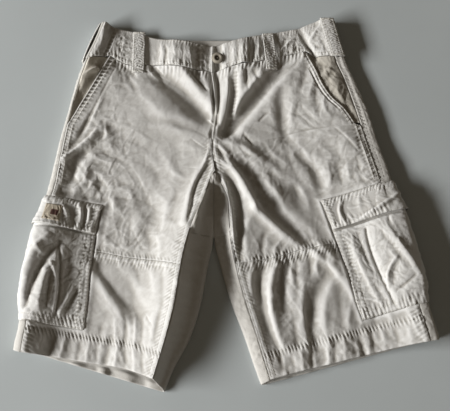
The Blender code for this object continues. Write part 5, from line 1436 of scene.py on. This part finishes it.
def waistband():
    drop = BAND + GAP + 0.6
    low = CLOTH + BAND + GAP + 1.6
    for leg, tag, tops, seams in ((RIGHT, "right", WAIST_TOP_R, WAIST_SEAM_R), (LEFT, "left", WAIST_TOP_L, WAIST_SEAM_L)):
        cols, rows = 210, 52
        n1 = cols * 4 // 21
        corner = 2 if leg is RIGHT else 4
        if leg is RIGHT:
            se = np.concatenate([curve(seams[:corner + 1], n1), curve(seams[corner:], cols - n1)[1:]])
            to = curve(tops, cols)
        else:
            se = np.concatenate([curve(seams[corner:][::-1], n1), curve(seams[:corner + 1][::-1], cols - n1)[1:]])
            to = curve(tops[::-1], cols)
        outer = level(leg, "seam", to[0][1], se[0][1], rows)
        to[0], se[0] = outer[0], outer[-1]
        inner = np.linspace(to[-1], se[-1], rows + 1)
        g = shrink(patch(to, se, outer, inner), SEAM)
        x, y = g[..., 0], g[..., 1]
        pan = Panel(np.stack([x, y, 0 * x], -1))
        z = leg.base(x, y) + relief(x, y, FOLDS)
        k = 1.3
        z = LOW + k * np.logaddexp(0, (z - LOW) / k)
        z = z + band_relief(x, y, pan.top, pan.low, pan.first) * (1 - 0.9 * loop_cover(x, y))
        z = low + 0.8 * np.logaddexp(0, (z - low) / 0.8)
        lean_back = lean_of(x) * (1 - smooth(0, 24, pan.top)) * smooth(1, 16, pan.first)
        z = z - (z - low) * lean_back
        if leg is RIGHT:
            under = smooth(-40, -25, x)
            z = z * (1 - under) + under * np.minimum(z, top(leg, x, y) + 0.3) - drop * under
        z = z + rim_drop(pan, ("first", "last"), 0.6, 1.8) + rim_drop(pan, ("top", "low"), 0.9, 2.2)
        if leg is LEFT:                      # worn buttonhole end
            z = z + 0.35 * np.exp(-((pan.last - 2.0) / 1.6)**2) - 0.3 * np.exp(-((pan.last - 5.0) / 1.0)**2)
        p = np.stack([x, y, z + 1.45], -1)
        pan.finish(p)
        shell("waistband_front_%s_cloth" % tag, p, 2.7, M_TWILL)
        grp = "stitching_waist"
        a, b = (0.0, 0.93) if leg is RIGHT else (0.0, 1.0)
        thread(grp, *pan.row("top", 2.4, a, b))
        thread(grp, *pan.row("low", 2.0, a, b))
        thread(grp, *pan.row("low", 6.2, a, b))
        if leg is LEFT:
            thread(grp, *pan.row("last", 3.0))
        declare("waistband_front_" + tag, 0.212, 0.05, 0.0098, ["front_%s_upper" % tag])
    # back: over both edges and along the floor
    rows_n = 26
    lines = []
    for s in np.linspace(0, 1, rows_n):
        ring = []
        for leg, ye, ys in ((RIGHT, 297 - 64 * s, 298 - 63 * s), (LEFT, 305 - 65 * s, 305 - 64 * s)):
            wide = abs(leg.at("edge", ys) - leg.at("seam", ys))
            a = np.concatenate([wide * (1 - np.append(np.linspace(0, 1, 12)[:-1], (0.95, 0.98, 0.994, 1.0))), -ROLL_UNDER * np.linspace(0.15, 1, 7)])
            a[0] -= 3 * SEAM
            y = np.interp(a, [-ROLL_UNDER, 0, wide], [ye, ye, ys])
            q = edge(leg, y, a)
            q[:, 2] += (BAND - CLOTH) / 2 * (1 - smooth(0, wide, a))
            ring.append(q)
        a, b = ring[0][-1], ring[1][-1]
        mid_y = 271 - 47.5 * s
        x = np.linspace(a[0], b[0], 122)[1:-1]
        y = hermite(x, [a[0], -110, -17, 80, b[0]], [a[1], mid_y + 5, mid_y, mid_y + 8, b[1]])
        run = np.stack([x, y, floor(x, y) + (BAND - CLOTH) / 2], -1)
        lines.append(np.concatenate([ring[0], run, ring[1][::-1]]))
    p = np.array(lines)
    s = np.linspace(0, 1, rows_n)[:, None]
    x, y = p[..., 0], p[..., 1]
    n = outward(p, (rows_n // 2, 1))
    arcs = arc(p, 1)
    ripple = 0.35 * crumple(arcs, y, 9.0, 4, 0, 2.4) + 0.25 * np.sin(2 * math.pi * arcs / 5.0 + 2 * N[2](arcs / 20, 0 * y)) * (np.exp(-(s / 0.12)**2) + np.exp(-((1 - s) / 0.12)**2))
    side = np.maximum(smooth(-178, -190, x), smooth(142, 154, x))
    p = p + n * (ripple * side)[..., None]
    # on the floor run only the top may move: it is done by its thickness
    nn = p.shape[1]
    idx = np.arange(rows_n * nn).reshape(rows_n, nn)
    quads = np.stack([idx[:-1, :-1], idx[:-1, 1:], idx[1:, 1:], idx[1:, :-1]], -1).reshape(-1, 4)
    thick_wall("waistband_back_cloth", p.reshape(-1, 3), quads, 1.4, 1.4, M_BACK, list(idx[:, 0]) + list(idx[:, -1]))
    declare("waistband_back", 0.48, 0.05, 0.0225, ["floor"])


# ------------------------------------------------------------- pocket facings
def facings():
    for leg, tag, slant, waist, sink in ((RIGHT, "right", POCKET_SLANT_R, WAIST_SEAM_R[:3], 5.5),
                                         (LEFT, "left", POCKET_SLANT_L, WAIST_SEAM_L[4:][::-1], 1.9)):
        nv, nu = 88, 34
        down = curve(slant, nv)
        under = down - leg.sign * np.stack([np.linspace(9.0, -0.6, nv + 1), np.zeros(nv + 1)], -1)
        under[:, 1] -= 4.0 * np.clip(1 - np.arange(nv + 1) / 10.0, 0, 1)
        y_end = slant[-1][1] + 3.0
        under[-1] = (np.interp(y_end, down[::-1, 1], down[::-1, 0]) + leg.sign * 0.6, y_end)
        blend_n = 8
        under[-blend_n:, 1] = np.linspace(under[-blend_n, 1], y_end, blend_n)
        under[-blend_n:, 0] = np.linspace(under[-blend_n, 0], under[-1, 0], blend_n)
        tops = curve(waist, nu - 6)
        outer = level(leg, "seam", tops[0][1], y_end, nv)
        tops = np.concatenate([tops, np.linspace(tops[-1], under[0], 7)[1:]])
        tops[0] = outer[0]
        ends = np.linspace(outer[-1], under[-1], nu + 1)
        g = shrink(patch(tops, ends, outer, under), 2 * SEAM)
        x, y = g[..., 0], g[..., 1]
        inside = leg.sign * (np.interp(y, down[::-1, 1], down[::-1, 0]) - x)
        span = np.abs(leg.at("seam", y) - x)
        z = cloth_top(leg, x, y) - sink * smooth(-16, -3, inside) * smooth(0, 8, span)
        show = 1 - smooth(-3.0, -0.5, inside)
        z = z + (relief(x, y, FACING_FOLDS, 1.8) + (0.2 if leg is RIGHT else 0.5) * crumple(x, y, 14.0, 3, 40, 1.3)) * show * smooth(0, 3, span)
        pan = Panel(np.stack([x, y, 0 * x], -1))
        z = z + rim_drop(pan, ("first", "top"), 0.4, 1.5)
        p = np.stack([x, y, np.maximum(z, 4.0) + 0.6], -1)
        pan.finish(p)
        # the left facing takes the darker copy of the facing colour, which is painted shade
        shell("pocket_facing_%s_cloth" % tag, p, 1.2, M_FACING_SHADED if leg is LEFT else M_FACING)
        declare("pocket_facing_" + tag, 0.05 if leg is LEFT else 0.04, 0.12, 0.0036 if leg is LEFT else 0.0026, ["back_" + tag])


# -------------------------------------------------------------- cargo pockets
def leg_fine(leg, tops, bottoms, columns, rows, fall, end, roll_n=13):
    v = np.linspace(0, 1, rows + 1)[:, None]
    y0 = tops[0] + (bottoms[0] - tops[0]) * v
    inset = tops[1] + (bottoms[1] - tops[1]) * v
    wide = abs(leg.at("edge", y0) - leg.at("seam", y0))
    front = [inset + (26.0 - inset) * t for t in np.linspace(0, 1, columns + 1)]
    mid = [26.0 + (wide - 26.0) * t for t in np.linspace(0, 1, 9)[1:-1]]
    over = [wide * (1 - t) for t in np.append(np.linspace(0, 1, roll_n)[:-1], (0.95, 0.98, 0.994, 1.0))] + [-ROLL_UNDER * end * t + 0 * wide for t in (0.35, 0.7, 1.0)]
    a = np.concatenate(front + mid + over, axis=1)
    y = y0 - fall * np.maximum(a, 0)
    return edge(leg, y, a), a, v + 0 * a


def swell(s, v, bulge):
    return (bulge * (0.30 * smooth(0.02, 0.12, s) + 0.75 * smooth(0.10, 0.64, s)) if bulge > 5 else 1.3 * bulge * (0.4 * smooth(0.02, 0.14, s) + 0.6 * smooth(0.40, 0.60, s))) * (1 - smooth(0.965, 1.0, s)) * smooth(0.0, 0.3, v) * (1 - smooth(0.84, 1.0, v))


def cargo():
    for row in CARGO:
        r = dict(zip(CARGO_COLUMNS, row))
        leg = RIGHT if r["leg"] == "right" else LEFT
        grp = "stitching_pocket_" + r["leg"]
        tops, bottoms = (r["pocket_top"], r["pocket_in_top"]), (r["pocket_bottom"], r["pocket_in_bottom"])
        far = -ROLL_UNDER * 0.4
        share = lambda a: 1 - (a - far) / ((tops[1] + bottoms[1]) / 2 - far)
        cols = int((tops[1] + bottoms[1]) / 2 - 26)
        p, a, v = leg_fine(leg, tops, bottoms, cols, 150, r["fall"], 0.4)
        s = np.clip(share(a), 0, 1)
        n = outward(p)
        lift = LIFT + 0.5 + swell(s, v, r["bulge"])
        q = p + n * lift[..., None]
        folds = smooth(0.02, 0.14, s) * (1 - smooth(0.93, 0.985, s)) * smooth(0, 0.2, v) * (1 - smooth(0.85, 1, v))
        q[..., 2] += relief(q[..., 0], q[..., 1], POCKET_FOLDS) * folds
        low = np.where(s < 0.8, top(leg, q[..., 0], q[..., 1]) + LIFT + 1.4, 1.6)
        q[..., 2] = np.maximum(q[..., 2], low)
        pan = Panel(q)
        # under the flap the pocket stays plain
        lv = q[..., 1] + r["fall"] * np.maximum(a, 0)
        shown = 1 - smooth(r["flap_bottom"] - 6, r["flap_bottom"] - 1, lv)
        x, y = q[..., 0], q[..., 1]
        d = relief(x, y, DETAIL_POCKET, 1.7) + 0.7 * crumple(x, y, 16.0, 2, 60 * leg.sign, 1.7) + 0.35 * crumple(x, y, 8.0, 6, 0, 1.4)
        along = smooth(0.0, 0.10, s)
        d = d * along * (1 - smooth(0.94, 1.0, s)) * (1 - 0.8 * smooth(0.88, 1.0, v))
        d = d + stitched(pan.first, lv, 3, rows=(2.0, 12.5), band=0.3, width=14.5, pucker=0.22, reach=6.0, pitch=6.0, lean=0.0)
        rung = teeth(lv + 0.3 * pan.first, 5.6, 1.5 * N[5](lv / 30, 0 * lv))
        d = d + (0.62 * np.exp(-((pan.first - 12.0) / 2.6)**2) + 0.4 * np.exp(-((pan.first - 2.6) / 2.4)**2)) * rung
        d = d + stitched(pan.low, x, 6, rows=(2.2, 11.0), band=0.3, width=12.5, pucker=0.60, reach=6.0, pitch=5.4, lean=0.3, inside=0.9)
        d = np.maximum(d, -1.9 - 0.95 * swell(s, v, r["bulge"]))
        under = (1.6 if leg is RIGHT else 3.6) * np.exp(-((lv - (r["flap_bottom"] - 1.6)) / 2.0)**2) * (1 - smooth(0.86, 0.96, s))
        q = q + outward(q) * (d * shown - under)[..., None]
        q[..., 2] = np.maximum(q[..., 2], np.where(s < 0.8, low - 1.4, 1.3))
        q = q + outward(q) * 0.65
        q[..., 2] += rim_drop(pan, ("first", "low"), 1.35, 3.2)
        pan.finish(q)
        shell("cargo_pocket_%s_cloth" % r["leg"], q, 1.2, M_TWILL, up=(q.shape[0] // 2, 1))
        c0 = 0.27
        for dd in (2.0, 12.5):
            thread(grp, *pan.row("first", dd, c0, 1.0))
        for dd in (2.2, 11.0):
            thread(grp, *pan.row("low", dd, 0.0, 0.88))
        declare("cargo_pocket_" + r["leg"], 0.135, 0.185, 0.0235, ["front_%s_lower" % r["leg"], "front_%s_upper" % r["leg"]])
        # flap
        ftops, fbots = (r["flap_top"], r["flap_in_top"]), (r["flap_bottom"], r["flap_in_bottom"])
        p, a, v = leg_fine(leg, ftops, fbots, int(cols * 1.05), 46, r["fall"], 0.08, 14)
        s = np.clip(share(a), 0, 1)
        n = outward(p)
        pv = np.clip((v * (r["flap_bottom"] - r["flap_top"]) + r["flap_top"] - r["pocket_top"])
                     / (r["pocket_bottom"] - r["pocket_top"]), 0, 1)
        lift = LIFT + 0.5 + (LIFT + 0.7) * smooth(0.0, 0.2, v) + swell(s, pv, r["bulge"]) * 1.2 + (0.2 if leg is RIGHT else 1.4) * smooth(0.55, 1.0, v)
        q = p + n * lift[..., None]
        q[..., 2] += relief(q[..., 0], q[..., 1], POCKET_FOLDS) * smooth(0.02, 0.14, s) * (1 - smooth(0.93, 0.985, s)) * smooth(0, 0.2, pv)
        lift_low = LIFT + 1.4 + (LIFT + 0.5) * smooth(0.0, 0.2, v)
        low = np.where(s < 0.8, top(leg, q[..., 0], q[..., 1]) + lift_low, 1.6)
        q[..., 2] = np.maximum(q[..., 2], low)
        pan = Panel(q)
        x, y = q[..., 0], q[..., 1]
        lv = y + r["fall"] * np.maximum(a, 0)
        d = (relief(x, y, DETAIL_FLAP, 1.7) + 0.55 * crumple(x, y, 12.0, 9, 70 * leg.sign, 1.6)) * smooth(0.0, 0.25, v) * smooth(0, 0.06, s) * (1 - smooth(0.92, 1, s))
        if r["leg"] == "right":
            d = d * (1 - tag_cover(x, y))
        for side, dd, rr in ((pan.top, x, (2.0, 8.4)), (pan.low, x, (2.2,)), (pan.first, y, (2.2, 8.0))):
            d = d + stitched(side, dd, 4, rows=rr, band=0.25, width=9.0, pucker=0.55, reach=3.5, pitch=5.2, lean=0.3, inside=0.9)
        d = np.maximum(d, -1.0)
        q = q + outward(q) * d[..., None]
        q[..., 2] = np.maximum(q[..., 2], np.where(s < 0.8, low - 0.4, 1.3))
        q = q + outward(q) * 0.7
        q[..., 2] += rim_drop(pan, ("top",), 1.3, 3.2) + rim_drop(pan, ("first",), 1.6, 4.0) + rim_drop(pan, ("low",), 0.9, 2.2)
        pan.finish(q)
        shell("cargo_flap_%s_cloth" % r["leg"], q, 1.3, M_TWILL, up=(q.shape[0] // 2, 1))
        for side, dds in (("top", (2.0, 8.4)), ("low", (2.2,)), ("first", (2.2, 8.0))):
            for dd in dds:
                thread(grp, *pan.row(side, dd, 0.03, 0.90 if side != "first" else 0.97))
        declare("cargo_flap_" + r["leg"], 0.13, 0.052, 0.0062 if leg is LEFT else 0.0056, ["cargo_pocket_" + r["leg"]])
        if r["leg"] == "right":
            FLAP.append((pan, a, v))


FLAP = []
TAG_BOX = (-273.0, -245.0, -32.0, -4.0)


def tag_cover(x, y):
    x0, x1, y0, y1 = TAG_BOX
    return smooth(x0 - 3, x0 + 1, x) * (1 - smooth(x1 - 1, x1 + 3, x)) * smooth(y0 - 3, y0 + 1, y) * (1 - smooth(y1 - 1, y1 + 3, y))


def flap_tag():
    """Small woven tag, left plain: a cream ground with a bare brown field."""
    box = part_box("flap_tag")
    lo, hi = [np.array(v) * 1000 - np.array([SHIFT_X, SHIFT_Y, 0]) for v in box]
    pan, a, v = FLAP[0]
    q = pan.q
    x, y = q[..., 0], q[..., 1]
    # the same part of the flap that the solid covers: rows 1 to 4 of 5, columns 6 to 9
    j0, j1 = int(round(0.30 * (q.shape[0] - 1))), int(round(0.84 * (q.shape[0] - 1)))
    inside = np.nonzero((x[(j0 + j1) // 2] > -272) & (x[(j0 + j1) // 2] < -245))[0]
    i0, i1 = inside.min(), inside.max()
    sub = q[j0:j1 + 1, i0:i1 + 1]
    nj, ni = 40, 52
    jj, ii = np.linspace(0, sub.shape[0] - 1, nj), np.linspace(0, sub.shape[1] - 1, ni)

    def at_row(j):
        a0 = int(min(math.floor(j), sub.shape[0] - 2))
        t = j - a0
        return sub[a0] * (1 - t) + sub[a0 + 1] * t
    g = np.array([np.stack([np.interp(ii, np.arange(sub.shape[1]), at_row(j)[:, k]) for k in range(3)], -1) for j in jj])
    n = outward(g)
    v = np.linspace(0, 1, nj)[:, None]
    u = np.linspace(0, 1, ni)[None, :]
    rim = np.minimum(np.minimum(u, 1 - u) * 30, np.minimum(v, 1 - v) * 24)
    lift = 1.1 + 0.5 * np.sin(math.pi * u) * np.sin(math.pi * v) - 0.35 * np.clip(1 - rim / 1.2, 0, 1)
    g = g + n * lift[..., None]
    field = (smooth(0.28, 0.36, u) * (1 - smooth(0.62, 0.70, u)) * smooth(0.28, 0.38, v) * (1 - smooth(0.62, 0.72, v)))
    g = g + n * (0.5 * crumple(u * 44.0, v * 30.0, 12.0, 4, 30, 1.2))[..., None] * (np.clip(rim / 3.0, 0, 1))[..., None]
    shell("flap_tag_cloth", g, 0.8, M_TAG, coarse=2, tone=field + 0 * u)
    declare("flap_tag", 0.030, 0.026, None, ["cargo_flap_right"])


def tag_material():
    m = bpy.data.materials.new("woven_tag")
    m.use_nodes = True
    t = m.node_tree
    p = t.nodes["Principled BSDF"]
    link = t.links.new
    co = node(t, "ShaderNodeTexCoord")
    w = node(t, "ShaderNodeTexWave", wave_type="BANDS", bands_direction="Y", in_Scale=900.0, in_Distortion=1.0)
    n = node(t, "ShaderNodeTexNoise", in_Scale=500.0, in_Detail=4.0)
    for k in (w, n):
        link(co.outputs["Object"], k.inputs["Vector"])
    att = node(t, "ShaderNodeAttribute", attribute_name="tone")
    a = node(t, "ShaderNodeMath", operation="MULTIPLY_ADD")
    link(n.outputs["Fac"], a.inputs[0])
    a.inputs[1].default_value = 0.30
    link(att.outputs["Fac"], a.inputs[2])
    r = node(t, "ShaderNodeValToRGB")
    e = r.color_ramp.elements
    e[0].position, e[0].color = 0.10, (0.60, 0.53, 0.42, 1)
    e[1].position, e[1].color = 1.0, (0.10, 0.035, 0.022, 1)
    x = r.color_ramp.elements.new(0.42)
    x.color = (0.50, 0.42, 0.31, 1)
    x = r.color_ramp.elements.new(0.62)
    x.color = (0.15, 0.055, 0.035, 1)
    link(a.outputs[0], r.inputs["Fac"])
    link(r.outputs["Color"], p.inputs["Base Color"])
    p.inputs["Roughness"].default_value = 0.7
    p.inputs["Sheen Weight"].default_value = 0.2
    b = node(t, "ShaderNodeBump", in_Strength=0.5, in_Distance=0.0002)
    link(w.outputs["Fac"], b.inputs["Height"])
    link(b.outputs["Normal"], p.inputs["Normal"])
    return m


M_TAG = tag_material()


# ---------------------------------------------------------------- belt loops
def loop_relief(u, v, width, length, seed):
    """Relief of a belt loop: two rows of stitches, bar tacks at both ends."""
    d = np.minimum(u, 1 - u) * width
    s = v * length
    z = -0.28 * np.exp(-((d - 3.0) / 0.8)**2) + 0.25 * np.clip(1 - ((d - width / 2) / (width / 2 - 3))**2, 0, 1)
    z = z + 0.22 * np.sin(2 * math.pi * s / 4.8 + 2.2 * N[seed % 12](s / 14, 0 * s)) * np.exp(-((d - 3.0) / 2.6)**2)
    z = z + 0.55 * crumple(u * width + seed * 13.0, s, 6.5, seed, 25, 1.3) + 0.30 * teeth(s + 0.6 * d, 4.4, 2 * N[seed % 12](s / 18, u * 2))
    for e in (2.4, length - 2.6):
        z = z + 0.35 * np.exp(-((s - e) / 1.6)**2) * smooth(0.5, 2.0, d)
    return z


def loop_threads(group, g, width, length):
    n = outward(g, (g.shape[0] // 2, g.shape[1] // 2))
    for i in (3.0 / width, 1 - 3.0 / width):
        k = int(round(i * (g.shape[1] - 1)))
        thread(group, g[:, k], n[:, k], pitch=3.0, length=2.1)
    for e in (2.4, length - 2.6):
        k = int(round(e / length * (g.shape[0] - 1)))
        for off in (-1, 0, 1):
            kk = min(max(k + off, 1), g.shape[0] - 2)
            thread(group, g[kk, 1:-1], n[kk, 1:-1], pitch=1.9, length=1.7)


def loops():
    for name, xt, yt, xf, yf, width, stand in LOOPS:
        leg = RIGHT if xt < -22 else LEFT
        a, b = np.array([xt, yt], float), np.array([xf, yf], float)
        length = float(np.linalg.norm(b - a))
        d = (b - a) / length
        across = np.array([-d[1], d[0]])
        nv, nu = int(length / 0.9), 22
        v = np.linspace(0, 1, nv)[:, None, None]
        w = np.linspace(-0.5, 0.5, nu)[None, :, None] * width
        g = a + (b - a) * v + across * w
        x, y = g[..., 0], g[..., 1]
        follow = np.maximum(top(leg, x, y), CLOTH + BAND + GAP + 1.6)
        three = a + (b - a) * v + across * (np.linspace(-0.5, 0.5, 3)[None, :, None] * width)
        z = np.maximum(top(leg, three[..., 0], three[..., 1]), CLOTH + BAND + GAP + 1.6).max(axis=1, keepdims=True)
        z = 0.25 * z + 0.75 * follow
        z = z - (z - 6.4) * lean_of(x) * (1 - smooth(0, 24, yt - y))
        lift = BAND / 2 + CLOTH / 2 + 0.9 + stand * np.sin(math.pi * v[..., 0])
        u = np.linspace(0, 1, nu)[None, :]
        r = loop_relief(u, v[..., 0], width, length, 3 if leg is RIGHT else 6)
        edge_in = np.minimum(u, 1 - u) * width
        rim = -0.7 * np.clip(1 - edge_in / 1.8, 0, 1)**2 - 0.6 * np.clip(1 - np.minimum(v[..., 0], 1 - v[..., 0]) * length / 1.8, 0, 1)**2
        p = np.stack([x, y, z + lift + r + rim + 0.75], -1)
        shell(name + "_cloth", p, 1.3, M_TWILL, coarse=2)
        loop_threads("stitching_waist", p, width, length)
        declare(name, width / 1000, length / 1000, None, ["waistband_front_" + ("right" if leg is RIGHT else "left")])
    for r in EDGE_LOOPS:
        leg = RIGHT if r["name"].endswith("right") else LEFT
        nv = 78
        t = np.linspace(0, 1, nv)
        y = r["top_y"] + (r["foot_y"] - r["top_y"]) * t
        wide = abs(leg.at("edge", y) - leg.at("seam", y))
        if r["in"] > wide.max():
            a = [np.linspace(r["in"], wide[j], 6)[:-1].tolist() + (wide[j] * (1 - np.linspace(0, 1 - max(r["out"], 0) / wide[j], 15))).tolist() for j in range(nv)]
        else:
            a = [(r["in"] + (0 - r["in"]) * np.linspace(0, 1, 15)).tolist() for j in range(nv)]
        a = np.array(a)
        if r["out"] < 0:
            a = np.concatenate([a, np.linspace(0, r["out"], 6)[None, 1:] + 0 * a[:, :1]], 1)
        q = edge(leg, y[:, None] + 0 * a, a)
        n = outward(q)
        away = BAND / 2 + CLOTH / 2 + 1.0 + r["stand"] * np.sin(math.pi * t)
        width = float(arc(q, 1)[nv // 2, -1])
        length = float(np.linalg.norm(q[0, 0] - q[-1, 0]))
        u = arc(q, 1) / arc(q, 1)[:, -1:]
        rel = (0.55 if leg is RIGHT else 0.85) * loop_relief(u, t[:, None] + 0 * u, width, length, 8 if leg is RIGHT else 9)
        edge_in = np.minimum(u, 1 - u) * width
        rim = -0.6 * np.clip(1 - edge_in / 1.6, 0, 1)**2 - 0.5 * np.clip(1 - np.minimum(t, 1 - t)[:, None] * length / 1.6, 0, 1)**2
        p = q + n * (away[:, None] + rel + rim + 0.7)[..., None]
        p[..., 2] = np.maximum(p[..., 2], 1.6)
        shell(r["name"] + "_cloth", p, 1.3, M_TWILL, coarse=2, up=(nv // 2, 1))
        loop_threads("stitching_waist", p, width, length)
        w2, l2 = float(np.median(arc(p, 1)[:, -1])), float(np.median(arc(p, 0)[-1]))
        declare(r["name"], w2 / 1000, l2 / 1000, None, ["waistband_back"])
    b = BACK_LOOP
    nv, nu = 70, 20
    v = np.linspace(0, 1, nv)[:, None]
    u = np.linspace(0, 1, nu)[None, :]
    x = b["x"] + (u - 0.5) * b["width"] + 0 * v
    y = b["top_y"] + (b["foot_y"] - b["top_y"]) * v + 0 * u
    p = np.stack([x, y, np.full(x.shape, FLOOR)], -1)
    idx = np.arange(nv * nu).reshape(nv, nu)
    quads = np.stack([idx[:-1, :-1], idx[1:, :-1], idx[1:, 1:], idx[:-1, 1:]], -1).reshape(-1, 4)
    r = np.clip(0.3 + 0.3 * loop_relief(u, v, b["width"], 67.0, 2), 0, 0.5)
    dn = 0.55 - r
    thick_wall("belt_loop_back_cloth", np.stack([x, y, FLOOR + r], -1).reshape(-1, 3), quads, 0.25, 0.55, M_BACK)
    declare("belt_loop_back", 0.018, 0.067, None, ["floor"])


# --------------------------------------------------------------------- button
def button():
    b = BUTTON
    R, H = b["radius"], b["height"]
    ring = [(-22, 226), (-3, 226), (-22, 247), (-3, 247), (b["x"], b["y"])]
    z0 = max(float(top(LEFT, np.array(x, float), np.array(y, float))) for x, y in ring) + BAND / 2 + 0.8
    prof = [(0.0, 0.50), (0.10, 0.52), (0.17, 0.46), (0.22, 0.36), (0.30, 0.34), (0.36, 0.48), (0.41, 0.74), (0.46, 0.92),
            (0.52, 0.99), (0.57, 1.0), (0.63, 0.98), (0.70, 0.94), (0.78, 0.88), (0.84, 0.82), (0.885, 0.75),
            (0.905, 0.71), (0.93, 0.73), (0.965, 0.66), (0.99, 0.54), (1.0, 0.42), (0.985, 0.28), (0.93, 0.10), (0.84, 0.02), (0.5, 0.0)]
    tones = [0.45, 0.40, 0.10, 0.0, 0.0, 0.05, 0.15, 0.30, 0.50, 0.60, 0.65, 0.70, 0.70, 0.60, 0.45, 0.25, 0.45, 0.50, 0.40, 0.3, 0.1, 0, 0, 0]
    seg = 64
    t = 2 * math.pi * np.arange(seg) / seg
    verts, tone = [], []
    for (r, h), q in zip(prof[1:], tones[1:]):
        wob = 1 + 0.02 * np.sin(t * 3 + 1.1) * (r > 0.6)
        verts.append(np.stack([b["x"] + R * r * np.cos(t), b["y"] + R * r * np.sin(t), z0 + H * h * wob], -1))
        tone.append(np.full(seg, q))
    rings = len(verts)
    V = np.concatenate(verts + [np.array([[b["x"], b["y"], z0 + H * prof[0][1]], [b["x"], b["y"], z0]])])
    T = np.concatenate(tone + [np.array([tones[0], 0.0])])
    quads, tris = [], []
    for j in range(rings - 1):
        for k in range(seg):
            m = (k + 1) % seg
            quads.append((j * seg + k, (j + 1) * seg + k, (j + 1) * seg + m, j * seg + m))
    c, e = rings * seg, rings * seg + 1
    for k in range(seg):
        m = (k + 1) % seg
        tris.append((c, k, m))
        tris.append((e, (rings - 1) * seg + m, (rings - 1) * seg + k))
    build("waist_button_metal", V, quads, tris, T, M_METAL)


def make_threads():
    prof = [(-0.5, 0.55), (-0.28, 1.0), (0.28, 1.0), (0.5, 0.55)]
    ang = [math.radians(a) for a in (45, 135, 225, 315)]
    for group, runs in STITCHES.items():
        mid = np.concatenate([r[0] for r in runs])
        d = np.concatenate([r[1] for r in runs])
        n = np.concatenate([r[2] for r in runs])
        s = np.concatenate([r[3] for r in runs])
        cols = []
        for x, k in prof:
            for a in ang:
                cols.append(mid + d * x + n * k * math.sin(a) * 1.2 + s * k * math.cos(a) * 1.2)
        v = np.stack(cols, 1)                       # stitches, 16, 3
        m = len(v)
        faces = []
        for j in range(3):
            for k in range(4):
                faces.append((j * 4 + k, j * 4 + (k + 1) % 4, (j + 1) * 4 + (k + 1) % 4, (j + 1) * 4 + k))
        faces += [(3, 2, 1, 0), (12, 13, 14, 15)]
        f = np.array(faces)[None] + 16 * np.arange(m)[:, None, None]
        build(group, v.reshape(-1, 3), f.reshape(-1, 4)[:, ::-1], [], None, M_THREAD)


# ---------------------------------------------------------------------- build
fronts()
backs()
waistband()
facings()
cargo()
flap_tag()
loops()
button()
make_threads()

for node_name, (w, l, area, rests) in FLAT.items():
    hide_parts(node_name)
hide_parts("waist_button")

# ------------------------------------------------------------ floor and light
bpy.ops.mesh.primitive_plane_add(size=6.0, location=(0, 0, 0))
ground = bpy.context.object
ground.name = "floor"
gm = bpy.data.materials.new("floor_cloth")
gm.use_nodes = True
gt = gm.node_tree
gp = gt.nodes["Principled BSDF"]
gco = node(gt, "ShaderNodeTexCoord")
gn = node(gt, "ShaderNodeTexNoise", in_Scale=5.0, in_Detail=4.0)
gt.links.new(gco.outputs["Object"], gn.inputs["Vector"])
gr = node(gt, "ShaderNodeValToRGB")
gr.color_ramp.elements[0].color = (0.485, 0.522, 0.527, 1)
gr.color_ramp.elements[1].color = (0.565, 0.605, 0.612, 1)
gt.links.new(gn.outputs["Fac"], gr.inputs["Fac"])
gt.links.new(gr.outputs["Color"], gp.inputs["Base Color"])
gp.inputs["Roughness"].default_value = 0.95
gp.inputs["Specular IOR Level"].default_value = 0.1
ground.data.materials.append(gm)

def softbox(name, plan, elev, dist, wide, high, power, colour):
    """Rectangular studio light that faces the part."""
    plan, elev = math.radians(plan), math.radians(elev)
    travel = Vector((math.cos(elev) * math.cos(plan), math.cos(elev) * math.sin(plan), -math.sin(elev)))
    data = bpy.data.lights.new(name, "AREA")
    data.shape = "RECTANGLE"
    data.size, data.size_y = wide, high
    data.energy = power
    data.color = colour
    ob = bpy.data.objects.new(name, data)
    ob.location = -travel * dist
    ob.rotation_euler = travel.to_track_quat("-Z", "Y").to_euler()
    bpy.context.scene.collection.objects.link(ob)


softbox("key", 12.0, 22.0, 5.0, 3.4, 0.9, 385.0, (1.0, 0.995, 0.985))
world = bpy.data.worlds.new("fill")
world.use_nodes = True
world.node_tree.nodes["Background"].inputs["Color"].default_value = (1.0, 0.84, 0.64, 1)
world.node_tree.nodes["Background"].inputs["Strength"].default_value = 0.084
bpy.context.scene.world = world
bpy.context.scene.view_settings.view_transform = "Standard"
bpy.context.scene.view_settings.look = "None"

# --------------------------------------------------------------------- camera
E, D = math.radians(76.0), 1250.0
aim = Vector((SHIFT_X * MM, SHIFT_Y * MM, 0))
cam = bpy.data.cameras.new("camera")
cam.sensor_width = 36.0
cam.lens = 65.36
cam.clip_start, cam.clip_end = 0.05, 20.0
cob = bpy.data.objects.new("camera", cam)
cob.location = aim + Vector((0, -math.cos(E), math.sin(E))) * D * MM
cob.rotation_mode = "QUATERNION"
cob.rotation_quaternion = Vector((0, math.cos(E), -math.sin(E))).to_track_quat("-Z", "Y")
bpy.context.scene.collection.objects.link(cob)
bpy.context.scene.camera = cob

print("triangles", sum(TRIANGLES.values()), json.dumps(TRIANGLES))
print("seconds", round(time.time() - T0, 1))
